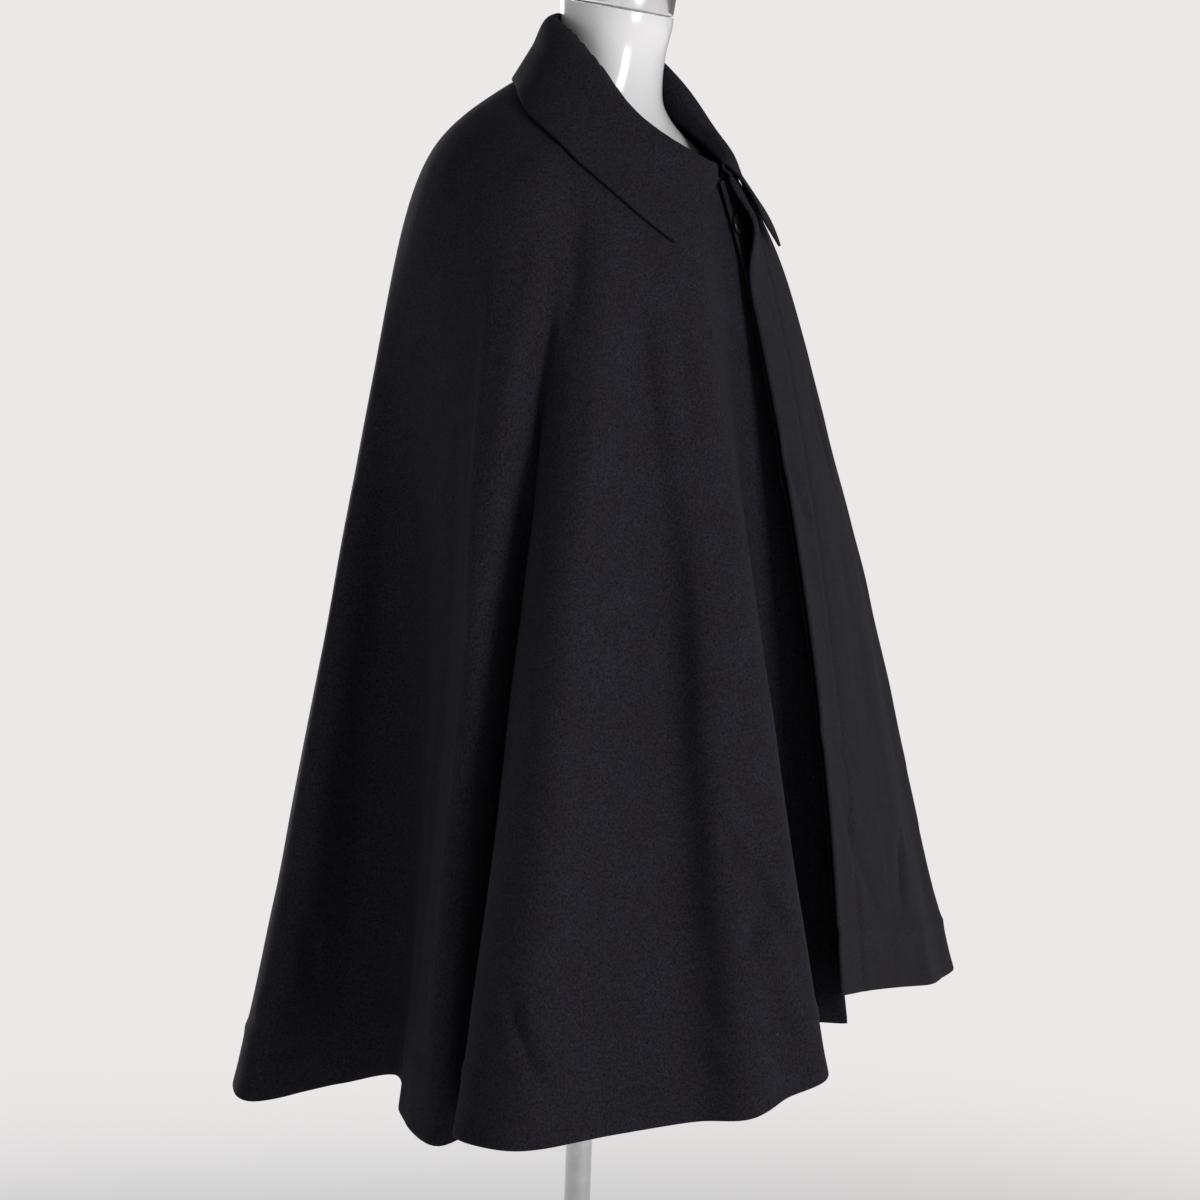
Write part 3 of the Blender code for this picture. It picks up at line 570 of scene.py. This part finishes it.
def gape_of(rows, grid):
    """How far the left front's edge stands off the fly's inner ply, near the neck."""
    edge = np.linalg.norm(grid - grid[-1][None], axis=-1)
    down = np.linalg.norm(grid - grid[:, :1], axis=-1)
    near_edge = np.exp(-((edge / GAPE_REACH) ** 2))
    near_neck = np.exp(-(((down - GAPE_AT) / GAPE_LENGTH) ** 2))
    left = (rows[:, 0] > GAPE_FROM)[:, None]
    return GAPE * near_edge * near_neck * left


def noise_at(points, size, seed):
    """Smooth noise from -1 to 1 at a grid of points. The size is one length, or one an axis."""
    scaled = points / np.array(size) + seed
    flat = [noise.noise(Vector(p)) for p in scaled.reshape(-1, 3)]
    return np.array(flat).reshape(points.shape[:-1])


def crease_relief(rows, grid):
    """The creases' share of the relief, each deepest in its middle and fading towards its ends."""
    relief = np.zeros(grid.shape[:2])
    share = np.linspace(0, 1, CREASE_STEPS)
    fade = np.sqrt(np.sin(math.pi * np.clip(share, CREASE_TIP, 1 - CREASE_TIP)))
    for _, bearing, height, to_bearing, to_height, width, depth in CREASES:
        line = np.empty((CREASE_STEPS, 3))
        for k, at in enumerate(share):
            column = np.argmin(np.abs(rows[:, 0] - (bearing + (to_bearing - bearing) * at)))
            drop = -(height + (to_height - height) * at)
            line[k] = on_line(drop, -grid[column, :, 2], grid[column])
        middle = (bearing + to_bearing) / 2
        near = np.flatnonzero(np.abs(rows[:, 0] - middle) < CREASE_ARC)
        apart = np.linalg.norm(grid[near][:, :, None] - line, axis=-1)
        relief[near] += depth * (np.exp(-((apart / width) ** 2)) * fade).max(axis=-1)
    return relief


def relief_of(rows, grid):
    """How far the hung cloth's inner face stands off its plain form, at each point of the grid."""
    down = lengths(grid, axis=1)
    past_turn = (down[:, -1:] - down - HEM_TURN) / HEM_TURN_WIDTH
    from_edge = lengths(grid[::-1], axis=0)[::-1]
    soft = sum(noise_at(grid, size, seed) * depth for size, seed, depth in SOFT_WAVES)
    relief = soft * smooth_step(down / SOFT_FADE)
    relief += HEM_TURN_RELIEF * np.exp(-(past_turn**2))
    relief += HEM_TURN_RELIEF * HEM_TURN_PLY * (1 - smooth_step(past_turn))
    relief += crease_relief(rows, grid)
    left = (rows[:, 0] > FLY_LINE_FROM)[:, None]
    stitched = np.exp(-(((from_edge - FLY_LINE) / FLY_LINE_WIDTH) ** 2))
    relief -= left * FLY_LINE_RELIEF * stitched
    return relief


def faces_of(columns, rows, start=0, around=False):
    """Quads of a grid of points numbered column by column."""
    steps = np.arange(columns - 1), np.arange(rows if around else rows - 1)
    i, j = np.meshgrid(*steps, indexing="ij")
    j2 = (j + 1) % rows
    here, next_one = i * rows, (i + 1) * rows
    quads = np.stack([here + j, here + j2, next_one + j2, next_one + j], axis=-1)
    return (quads.reshape(-1, 4) + start).tolist()


def add_mesh(name, points, faces, sharp):
    """A smooth mesh in the scene, with its edges sharp where they turn by more than an angle."""
    mesh = bpy.data.meshes.new(name)
    mesh.from_pydata(np.asarray(points).tolist(), [], faces)
    mesh.validate()
    mesh.shade_smooth()
    mesh.set_sharp_from_angle(angle=math.radians(sharp))
    made = bpy.data.objects.new(name, mesh)
    bpy.context.scene.collection.objects.link(made)
    face_outwards(made)
    return made


def face_outwards(made):
    """Turns the faces round if they enclose a negative volume."""
    mesh = made.data
    mesh.calc_loop_triangles()
    points = np.empty(len(mesh.vertices) * 3)
    mesh.vertices.foreach_get("co", points)
    corners = np.empty(len(mesh.loop_triangles) * 3, int)
    mesh.loop_triangles.foreach_get("vertices", corners)
    corners = points.reshape(-1, 3)[corners.reshape(-1, 3)]
    volume = np.einsum("ij,ij->i", corners[:, 0], np.cross(corners[:, 1], corners[:, 2])).sum()
    if volume < 0:
        mesh.flip_normals()


def shell(name, inner, outer):
    """A closed wall between two grids of the same shape, with its rim rounded."""
    columns, rows = inner.shape[:2]
    rim = [(i, 0) for i in range(columns)]
    rim += [(columns - 1, j) for j in range(1, rows)]
    rim += [(i, rows - 1) for i in range(columns - 2, -1, -1)]
    rim += [(0, j) for j in range(rows - 2, 0, -1)]
    ci, cj = np.array(rim).T
    ni = np.clip(ci, 1, columns - 2)
    nj = np.clip(cj, 1, rows - 2)
    a, b = inner[ci, cj], outer[ci, cj]
    middle = (a + b) / 2
    away = middle - (inner[ni, nj] + outer[ni, nj]) / 2
    half = (b - a) / 2
    away = away - half * (np.sum(away * half, axis=1) / np.sum(half * half, axis=1))[:, None]
    away = away / np.linalg.norm(away, axis=1)[:, None] * np.linalg.norm(half, axis=1)[:, None]
    points = [inner.reshape(-1, 3), outer.reshape(-1, 3)]
    count = columns * rows
    faces = faces_of(columns, rows) + [quad[::-1] for quad in faces_of(columns, rows, count)]
    rings = [[int(k) for k in ci * rows + cj]]
    for k in range(1, RIM_STEPS):
        angle = math.pi * k / RIM_STEPS
        points.append(middle - half * math.cos(angle) + away * math.sin(angle) * RIM_FULLNESS)
        first = 2 * count + (k - 1) * len(rim)
        rings.append(list(range(first, first + len(rim))))
    rings.append([int(k) + count for k in ci * rows + cj])
    for low, high in zip(rings, rings[1:]):
        for k in range(len(rim)):
            k2 = (k + 1) % len(rim)
            faces.append([low[k], low[k2], high[k2], high[k]])
    return add_mesh(name, np.concatenate(points), faces, CLOTH_SHARP)


def pull_back(grid, column, towards):
    """Moves one border column of a grid towards its neighbour, to leave room for the seam."""
    along = grid[towards] - grid[column]
    length = np.linalg.norm(along, axis=-1)[..., None]
    grid[column] += along / length * (SEAM_GAP / 2)


def declare(piece, node):
    """Rides the part and stands for its node."""
    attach(piece, "root")
    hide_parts(node)


def declare_cloth(piece, node):
    """Declares a piece of cloth."""
    declare(piece, node)


def thickness_of(grid):
    """The cape's thickness, more along its turned front edges and hem."""
    across, down = lengths(grid, axis=0), lengths(grid, axis=1)
    near = np.minimum(across, across[-1:] - across)
    near = np.minimum(near, down[:, -1:] - down)
    return CLOTH + EDGE_THICKENING * np.exp(-((near / EDGE_WIDTH) ** 2))


def build_panels(bearing, inner, outer):
    """The cape's two fronts and its back, with a hairline gap at the seams between them."""
    right_seam = int(np.argmin(np.abs(bearing - RIGHT_SEAM)))
    left_seam = int(np.argmin(np.abs(bearing - LEFT_SEAM)))
    spans = {
        "front_right": (0, right_seam),
        "back": (right_seam, left_seam),
        "front_left": (left_seam, len(bearing) - 1),
    }
    for name, (first, last) in spans.items():
        sides = [side[first : last + 1].copy() for side in (inner, outer)]
        for side in sides:
            if name != "front_right":
                pull_back(side, 0, 1)
            if name != "front_left":
                pull_back(side, -1, -2)
        piece = shell(name + "_cloth", *sides)
        declare_cloth(piece, name)


def on_fly(flat, widths, out_by=0.0):
    """The left front's flat inner face at some distances from its edge, and its normals there.

    By the neck, the points at the first distance move outwards past the left front's edge.
    """
    normal = normals_of(flat)
    found = np.empty((len(widths), flat.shape[1], 3))
    outwards = np.empty_like(found)
    for j in range(flat.shape[1]):
        line = flat[::-1, j]
        from_edge = lengths(line)
        found[:, j] = on_line(widths, from_edge, line)
        outwards[:, j] = on_line(widths, from_edge, normal[::-1, j])
        fallen = np.linalg.norm(line[0] - flat[-1, 0])
        beyond = out_by * max(0.0, 1 - fallen / FLY_OUT_LENGTH)
        near = int(np.searchsorted(from_edge, FLY_OUT_AIM))
        found[0, j] += (line[0] - line[near]) / from_edge[near] * beyond
    return found, outwards / np.linalg.norm(outwards, axis=-1)[..., None]


def build_fly(flat):
    """The buttonhole ply under the left front's edge, and the buttons that lie on it."""
    points, outwards = on_fly(flat, FLY["from_edge"], FLY_OUT)
    kept = np.linalg.norm(points[0] - points[0, 0], axis=-1) < FLY_LENGTH
    points, outwards = points[:, kept], outwards[:, kept]
    top = points - outwards * np.array(FLY["room"])[:, None, None]
    knots = np.arange(len(top), dtype=float)
    fine = np.linspace(0, len(top) - 1, FLY_COLUMNS)
    smooth, turn = (
        np.stack([along_curve(grid[:, j], knots, fine) for j in range(grid.shape[1])], axis=1)
        for grid in (top, outwards)
    )
    piece = shell("fly_ply_cloth", smooth - turn * FLY_PLY, smooth)
    declare_cloth(piece, "fly_ply")

    lines, normals = on_fly(flat, BUTTON_FROM_EDGE)
    for k, (line, outwards) in enumerate(zip(lines, normals)):
        at, fallen = FIRST_BUTTON + k * BUTTON_STEP, lengths(line)
        out = on_line(at, fallen, outwards)
        button(k + 1, on_line(at, fallen, line) - out * BUTTON_ROOM / 2, out)


def round_point(radius, k):
    """The point at one of the sides of a circle about the origin."""
    angle = 2 * math.pi * k / ROUND_SIDES
    return math.cos(angle) * radius, math.sin(angle) * radius


def turned(name, profile, middle, axis, dents=()):
    """A turned solid from (radius, height) pairs, its top dented by (across, up, radius, depth)."""
    axis = np.array(axis, float) / np.linalg.norm(axis)
    aside = np.cross(axis, [1.0, 0, 0] if abs(axis[0]) < 0.8 else [0, 1.0, 0])
    aside = aside / np.linalg.norm(aside)
    third = np.cross(axis, aside)
    points, rings = [], []
    for radius, height in profile:
        ring = []
        for k in range(1 if radius == 0 else ROUND_SIDES):
            u, v = round_point(radius, k)
            lift = height
            for across, up, size, depth in dents:
                if height > 0 and math.hypot(u - across, v - up) < size:
                    lift -= depth
            ring.append(len(points))
            points.append(np.array(middle) + aside * u + third * v + axis * lift)
        rings.append(ring)
    faces = []
    for low, high in zip(rings, rings[1:]):
        for k in range(ROUND_SIDES):
            k2 = (k + 1) % ROUND_SIDES
            quad = [ring[i % len(ring)] for ring, i in ((low, k), (low, k2), (high, k2), (high, k))]
            faces.append(list(dict.fromkeys(quad)))
    return add_mesh(name, points, faces, TURNED_SHARP)


def rounded(corners, radius):
    """A profile's (radius, height) corners with each inner corner turned on an arc."""
    corners = [np.array(c, float) for c in corners]
    path = [tuple(corners[0])]
    for before, here, after in zip(corners, corners[1:], corners[2:]):
        first, second = before - here, after - here
        long, wide = np.linalg.norm(first), np.linalg.norm(second)
        cut = min(radius, long * ARC_SHARE, wide * ARC_SHARE)
        a = here + first / long * cut
        b = here + second / wide * cut
        for t in np.linspace(0, 1, ARC_STEPS):
            path.append(tuple(a * (1 - t) ** 2 + here * 2 * t * (1 - t) + b * t * t))
    path.append(tuple(corners[-1]))
    return path


def button(number, place, out):
    half = BUTTON_THICKNESS / 2
    rim = [(BUTTON_RADIUS * across, half * up) for across, up in BUTTON_PROFILE]
    dish, floor = rim[-1]
    face = [(dish * share, floor) for share in np.linspace(*BUTTON_FACE, BUTTON_FACE_RINGS)]
    at, size = BUTTON_RADIUS * BUTTON_HOLE_AT, BUTTON_RADIUS * BUTTON_HOLE
    holes = [(a * at, b * at, size, half) for a in (-1, 1) for b in (-1, 1)]
    profile = rounded(rim, BUTTON_ROUNDING) + face + [(0, floor)]
    piece = turned(f"button_{number}_moulded", profile, place, out, holes)
    declare(piece, f"button_{number}")


def leaf_edge(bearing, outer, columns, leaf_bearing):
    """The leaf's edge over each of the cape's columns, evened out but for its points."""
    normal = normals_of(outer)
    down = lengths(outer, axis=1)
    drop = np.interp(bearing[columns], leaf_bearing, LEAF["drop"])
    lift = np.interp(bearing[columns], leaf_bearing, LEAF["lift"])
    edge = np.empty((len(columns), 3))
    for k, i in enumerate(columns):
        out = on_line(drop[k], down[i], normal[i])
        edge[k] = on_line(drop[k], down[i], outer[i]) + out * lift[k]
    kept = np.isin(bearing[columns], leaf_bearing[LEAF_CORNERS])[1:-1, None]
    even = edge.copy()
    for _ in range(LEAF_ROUNDS):
        even[1:-1] = np.where(kept, edge[1:-1], (even[:-2] + even[1:-1] + even[2:]) / 3)
    return even


def collar_edge():
    """The leaf's edge as the solid has it: bearings and points, and the bearings of its table."""
    rows = through([row[1:] for row in HEM], COARSE_COLUMNS)
    flat = cape_surface(rows, column_shares(COARSE_SHOULDER_ROWS, COARSE_FALL_ROWS))
    flat = clear_of_form(flat, FORM_GAP)
    inner = flat + normals_of(flat) * gape_of(rows, flat)[..., None]
    outer = inner + normals_of(inner) * CLOTH
    bearing = rows[:, 0]
    points_at = [np.argmin(np.abs(bearing - at)) for at in LEAF["bearing"]]
    columns = np.arange(points_at[0], points_at[-1] + 1)
    leaf_bearing = bearing[points_at]
    return bearing[columns], leaf_edge(bearing, outer, columns, leaf_bearing), leaf_bearing


def build_collar(bearing, inner, outer):
    """One folded strip: the stand up from the neckline, the turn, and the leaf on the cape."""
    edge_bearing, edge, leaf_bearing = collar_edge()
    first, last = np.searchsorted(bearing, leaf_bearing[[0, -1]])
    columns = np.arange(first, last + 1)
    at = bearing[columns]
    end = on_line(at, edge_bearing, edge)
    free = np.ones((len(end), 1), bool)
    free[[int(np.argmin(np.abs(at - leaf_bearing[k]))) for k in LEAF_TIPS]] = False
    for _ in range(LEAF_FINE_ROUNDS):
        even = (end[:-2] + end[1:-1] + end[2:]) / 3
        end[1:-1] = np.where(free[1:-1], even, end[1:-1])
    swell = np.interp(at, leaf_bearing, LEAF["swell"])[:, None]
    set_in = np.interp(at, leaf_bearing, LEAF["set_in"])[:, None]
    radial = outwards_at(at)
    up = np.array([0.0, 0.0, 1.0])
    seam = (inner[columns, 0] + outer[columns, 0]) / 2
    under = int(np.searchsorted(lengths(inner[first]), STAND_LINE))
    along = seam - (inner[columns, under] + outer[columns, under]) / 2
    along = along / np.linalg.norm(along, axis=1)[:, None]
    fold = from_table(COLLAR_FOLD, at) - radial * set_in
    turn_over = fold + radial * FOLD_WIDTH - up * FOLD_ROUNDING
    path = np.stack(
        [
            seam + along * (SEAM_GAP + COLLAR_SEAM_SLACK + COLLAR_CLOTH / 2),
            seam + along * (STAND_START + COLLAR_CLOTH / 2),
            fold - radial * STAND_LEAN - up * STAND_LEAN * 4,
            fold,
            turn_over,
            (turn_over + end) / 2 + radial * swell,
            end,
        ],
        axis=1,
    )
    grid = np.empty((len(path), COLLAR_POINTS, 3))
    for k, line in enumerate(path):
        knot = lengths(line) ** SECTION_POWER
        curve = along_curve(line, knot, np.linspace(0, knot[-1], SECTION_STEPS))
        along = lengths(curve)
        grid[k] = on_line(np.linspace(0, along[-1], COLLAR_POINTS), along, curve)
    thick = normals_of(grid) * (COLLAR_CLOTH / 2)
    piece = shell("collar_cloth", grid - thick, grid + thick)
    declare_cloth(piece, "collar")


def build_form():
    """The torso and neck, in one body, closed by a flat underside and a tilted flat neck top."""
    heights = FORM["height"]
    share = np.linspace(0, 1, FORM_STEPS)
    fine = np.unique([a + (b - a) * share for a, b in zip(heights, heights[1:])])
    angles = np.linspace(0, 2 * math.pi, FORM_COLUMNS, endpoint=False)
    points = []
    for height in fine:
        half_width, front, back = (float(value) for value in form_section(height))
        rounder = float(smooth_step((height - NECK_ROUND_FROM) / NECK_ROUND_OVER))
        power = FORM_SQUARENESS + (2.0 - FORM_SQUARENESS) * rounder
        tilt = float(smooth_step((height - NECK_TILT_FROM) / (heights[-1] - NECK_TILT_FROM)))
        for angle in angles:
            x, y = math.cos(angle), math.sin(angle)
            size = (abs(x) ** power + abs(y) ** power) ** (-1 / power)
            depth = back if y > 0 else front
            place = [x * size * half_width, y * size * depth, height]
            place[2] += place[1] * math.tan(NECK_TILT) * tilt
            points.append(place)
    count = FORM_COLUMNS
    faces = faces_of(len(fine), count, around=True)
    faces += [list(range(count))[::-1], list(range(len(points) - count, len(points)))]
    declare(add_mesh("form_surface", points, faces, FORM_SHARP), "form_torso")


def build_stand():
    """The neck's cap, the pole with its flange, the base, and the boss round the pole's foot."""
    middle_y = (FORM["back"][-1] - FORM["front"][-1]) / 2
    seat = (0, middle_y, FORM["height"][-1] + middle_y * math.tan(NECK_TILT))
    cap_axis = (0, -math.sin(NECK_TILT), math.cos(NECK_TILT))
    foot, up = (0, 0, 0), (0, 0, 1)
    low = BASE_THICKNESS + SEAM_GAP
    high = FORM["height"][0] - SEAM_GAP
    flange_low = high - FLANGE_THICKNESS
    pieces = (
        ("cap_turned", "neck_cap", CAP_EDGE, seat, cap_axis,
         [(0, SEAM_GAP), (CAP_RADIUS, SEAM_GAP), (CAP_RADIUS, CAP_HEIGHT),
          (0, CAP_HEIGHT + CAP_EDGE)]),
        ("pole_turned", "stand_pole", POLE_EDGE, foot, up,
         [(0, low), (POLE_RADIUS, low), (POLE_RADIUS, flange_low), (FLANGE_RADIUS, flange_low),
          (FLANGE_RADIUS, high), (0, high)]),
        ("base_turned", "stand_base", BASE_EDGE, foot, up,
         [(0, 0), (BASE_RADIUS, 0), (BASE_RADIUS, BASE_THICKNESS), (0, BASE_THICKNESS)]),
    )
    for name, node, edge, place, axis, corners in pieces:
        declare(turned(name, rounded(corners, edge), place, axis), node)

    inside = POLE_RADIUS + SEAM_GAP
    profile = rounded(
        [
            (inside, low),
            (BOSS_RADIUS, low),
            (BOSS_RADIUS, low + BOSS_HEIGHT * BOSS_STRAIGHT),
            (BOSS_RADIUS - BOSS_TAPER, low + BOSS_HEIGHT),
            (inside, low + BOSS_HEIGHT),
        ],
        BOSS_EDGE,
    )
    points = [(*round_point(r, k), height) for k in range(ROUND_SIDES) for r, height in profile]
    quads = faces_of(ROUND_SIDES + 1, len(profile), around=True)
    faces = [[p % len(points) for p in quad] for quad in quads]
    declare(add_mesh("boss_turned", points, faces, TURNED_SHARP), "stand_boss")


def set_sockets(node, values):
    for socket, value in values.items():
        node.inputs[socket].default_value = value


def new_material(name):
    made = bpy.data.materials.new(name)
    made.use_nodes = True
    nodes = made.node_tree.nodes
    return made, nodes, made.node_tree.links, nodes["Principled BSDF"]


def coordinates(nodes):
    return nodes.new("ShaderNodeTexCoord").outputs["Object"]


def noise_node(nodes, links, where, size, detail, roughness=0.5):
    found = nodes.new("ShaderNodeTexNoise")
    set_sockets(found, {"Scale": 1 / size, "Detail": detail, "Roughness": roughness})
    links.new(where, found.inputs["Vector"])
    return found.outputs["Fac"]


def ranged(nodes, links, value, low, high):
    """A value from 0 to 1 brought to another range."""
    found = nodes.new("ShaderNodeMapRange")
    set_sockets(found, {"To Min": low, "To Max": high})
    links.new(value, found.inputs["Value"])
    return found.outputs["Result"]


def ramp(nodes, links, value, stops):
    found = nodes.new("ShaderNodeValToRGB")
    band = found.color_ramp
    while len(band.elements) < len(stops):
        band.elements.new(0.5)
    for element, (at, colour) in zip(band.elements, stops):
        element.position = at
        element.color = (*colour, 1)
    links.new(value, found.inputs["Fac"])
    return found.outputs["Color"]


def mixed(nodes, links, kind, share, a, b):
    found = nodes.new("ShaderNodeMix")
    found.data_type = "RGBA"
    found.blend_type = kind
    for socket, value in ((0, share), (6, a), (7, b)):
        if hasattr(value, "is_output"):
            links.new(value, found.inputs[socket])
        else:
            found.inputs[socket].default_value = value
    return found.outputs[2]


def bumped(nodes, links, height, strength, distance, before=None):
    found = nodes.new("ShaderNodeBump")
    set_sockets(found, {"Strength": strength, "Distance": distance})
    links.new(height, found.inputs["Height"])
    if before:
        links.new(before, found.inputs["Normal"])
    return found.outputs["Normal"]


def melton():
    """Black milled wool: a dull mottled ground, a short nap that catches the light, and lint."""
    made, nodes, links, shader = new_material("melton_wool")
    where = coordinates(nodes)
    cloudy = noise_node(nodes, links, where, size=0.030, detail=4, roughness=0.6)
    fibres = noise_node(nodes, links, where, size=0.0020, detail=5, roughness=0.75)
    ground = ramp(nodes, links, cloudy, [(0.3, WOOL_DARK), (0.7, WOOL_LIGHT)])
    fleck = ramp(nodes, links, fibres, [(0.36, FIBRE_DARK), (0.64, FIBRE_LIGHT)])
    cloth = mixed(nodes, links, "MULTIPLY", 0.85, ground, fleck)
    cells = nodes.new("ShaderNodeTexVoronoi")
    set_sockets(cells, {"Scale": 55})
    links.new(where, cells.inputs["Vector"])
    speck = ramp(nodes, links, cells.outputs["Distance"], [(0.018, WHITE), (0.030, BLACK)])
    here_and_there = noise_node(nodes, links, where, size=0.080, detail=1)
    patches = ramp(nodes, links, here_and_there, [(0.60, BLACK), (0.68, WHITE)])
    lint = mixed(nodes, links, "MULTIPLY", 1.0, speck, patches)
    cloth = mixed(nodes, links, "MIX", lint, cloth, LINT)
    links.new(cloth, shader.inputs["Base Color"])
    set_sockets(shader, {"Roughness": 0.88, "Specular IOR Level": 0.12, "Sheen Weight": 0.015,
                         "Sheen Roughness": 0.45, "Sheen Tint": NAP_TINT})
    nap = bumped(nodes, links, fibres, strength=0.55, distance=0.0006)
    lumps = noise_node(nodes, links, where, size=0.006, detail=4, roughness=0.6)
    felt = bumped(nodes, links, lumps, strength=0.35, distance=0.0010, before=nap)
    links.new(felt, shader.inputs["Normal"])
    return made


def gloss_white():
    """The form's moulded plastic, under a clear coat."""
    made, nodes, links, shader = new_material("form_gloss")
    where = coordinates(nodes)
    tone = noise_node(nodes, links, where, size=0.25, detail=2)
    colour = ramp(nodes, links, tone, [(0.35, FORM_DARK), (0.65, FORM_LIGHT)])
    links.new(colour, shader.inputs["Base Color"])
    handled = noise_node(nodes, links, where, size=0.05, detail=3)
    links.new(ranged(nodes, links, handled, 0.16, 0.26), shader.inputs["Roughness"])
    set_sockets(shader, {"Coat Weight": 0.4, "Coat Roughness": 0.08})
    waves = noise_node(nodes, links, where, size=0.02, detail=2)
    links.new(bumped(nodes, links, waves, strength=0.08, distance=0.001), shader.inputs["Normal"])
    return made


def chrome():
    made, nodes, links, shader = new_material("stand_chrome")
    set_sockets(shader, {"Metallic": 1.0})
    wear = noise_node(nodes, links, coordinates(nodes), size=0.012, detail=5, roughness=0.65)
    colour = ramp(nodes, links, wear, [(0.3, CHROME_DARK), (0.7, CHROME_LIGHT)])
    links.new(colour, shader.inputs["Base Color"])
    links.new(ranged(nodes, links, wear, 0.08, 0.20), shader.inputs["Roughness"])
    return made


def button_black():
    made, nodes, links, shader = new_material("button_gloss")
    swirl = noise_node(nodes, links, coordinates(nodes), size=0.004, detail=3)
    colour = ramp(nodes, links, swirl, [(0.35, BUTTON_DARK), (0.65, BUTTON_LIGHT)])
    links.new(colour, shader.inputs["Base Color"])
    links.new(ranged(nodes, links, swirl, 0.12, 0.25), shader.inputs["Roughness"])
    return made


def paint_pieces():
    """Gives each new piece the finish that the last word of its name asks for."""
    finishes = {
        "cloth": melton(), "surface": gloss_white(), "turned": chrome(), "moulded": button_black(),
    }
    for piece in bpy.data.objects:
        finish = finishes.get(piece.name.rsplit("_", 1)[-1])
        if piece.type == "MESH" and finish and piece.name not in frame["nodes"]:
            piece.data.materials.clear()
            piece.data.materials.append(finish)


def build_world():
    """A soft even surround, which the camera sees at its full brightness."""
    world = bpy.data.worlds.new("studio")
    bpy.context.scene.world = world
    world.use_nodes = True
    nodes, links = world.node_tree.nodes, world.node_tree.links
    back = nodes["Background"]
    set_sockets(back, {"Color": (*BACKGROUND, 1), "Strength": AMBIENT})
    seen = nodes.new("ShaderNodeBackground")
    set_sockets(seen, {"Color": (*BACKGROUND, 1)})
    path = nodes.new("ShaderNodeLightPath")
    mix = nodes.new("ShaderNodeMixShader")
    links.new(path.outputs["Is Camera Ray"], mix.inputs["Fac"])
    links.new(back.outputs["Background"], mix.inputs[1])
    links.new(seen.outputs["Background"], mix.inputs[2])
    links.new(mix.outputs["Shader"], nodes["World Output"].inputs["Surface"])


def build_floor():
    """A round pale floor that fades to the background's colour away from the stand."""
    points = [(*round_point(FLOOR_RADIUS, k), 0) for k in range(ROUND_SIDES)]
    floor = add_mesh("floor", points, [list(range(ROUND_SIDES))], CLOTH_SHARP)
    made, nodes, links, shader = new_material("floor_pale")
    set_sockets(shader, {"Base Color": FLOOR_COLOUR, "Roughness": 0.9})
    distance = nodes.new("ShaderNodeVectorMath")
    distance.operation = "LENGTH"
    links.new(coordinates(nodes), distance.inputs[0])
    fade = nodes.new("ShaderNodeMapRange")
    fade.interpolation_type = "SMOOTHSTEP"
    set_sockets(fade, {"From Min": FLOOR_PLAIN, "From Max": FLOOR_FADED})
    links.new(distance.outputs["Value"], fade.inputs["Value"])
    glow = nodes.new("ShaderNodeEmission")
    set_sockets(glow, {"Color": (*BACKGROUND, 1)})
    mix = nodes.new("ShaderNodeMixShader")
    links.new(fade.outputs["Result"], mix.inputs["Fac"])
    links.new(shader.outputs["BSDF"], mix.inputs[1])
    links.new(glow.outputs["Emission"], mix.inputs[2])
    links.new(mix.outputs["Shader"], nodes["Material Output"].inputs["Surface"])
    floor.data.materials.append(made)


def build_lights():
    for name, place, target, size, power, colour in LIGHTS:
        lamp = bpy.data.lights.new(name, "AREA")
        lamp.shape = "RECTANGLE"
        lamp.size, lamp.size_y = size
        lamp.energy = power
        lamp.color = colour
        made = bpy.data.objects.new(name, lamp)
        made.location = place
        aim = Vector(target) - Vector(place)
        made.rotation_euler = aim.to_track_quat("-Z", "Y").to_euler()
        made.visible_camera = False
        bpy.context.scene.collection.objects.link(made)


def build_camera():
    forward_flat = np.array([math.cos(CAMERA_HEADING), math.sin(CAMERA_HEADING), 0])
    up = np.array([0.0, 0.0, 1.0])
    forward = math.cos(CAMERA_PITCH) * forward_flat - math.sin(CAMERA_PITCH) * up
    right = np.array([math.sin(CAMERA_HEADING), -math.cos(CAMERA_HEADING), 0])
    down = -math.sin(CAMERA_PITCH) * forward_flat - math.cos(CAMERA_PITCH) * up
    c, s = math.cos(CAMERA_ROLL), math.sin(CAMERA_ROLL)
    image_right = c * right - s * down
    image_down = s * right + c * down
    data = bpy.data.cameras.new("camera")
    data.sensor_width = SENSOR_WIDTH
    data.lens = FOCAL_PIXELS / PICTURE_SIDE * data.sensor_width
    camera = bpy.data.objects.new("camera", data)
    turn = Matrix([image_right, -image_down, -forward]).transposed()
    camera.matrix_world = Matrix.Translation(CAMERA_PLACE) @ turn.to_4x4()
    bpy.context.scene.collection.objects.link(camera)
    bpy.context.scene.camera = camera
    bpy.context.scene.view_settings.view_transform = "Standard"


def main():
    rows = through([row[1:] for row in HEM], CAPE_COLUMNS)
    flat = cape_surface(rows, column_shares(SHOULDER_ROWS, FALL_ROWS))
    hung = rest_on_form(flat + normals_of(flat) * relief_of(rows, flat)[..., None], FORM_GAP)
    inner = hung + normals_of(flat) * gape_of(rows, flat)[..., None]
    outer = inner + normals_of(inner) * thickness_of(inner)[..., None]
    build_panels(rows[:, 0], inner, outer)
    build_fly(hung)
    build_collar(rows[:, 0], inner, outer)
    build_form()
    build_stand()
    paint_pieces()
    build_world()
    build_floor()
    build_lights()
    build_camera()


main()
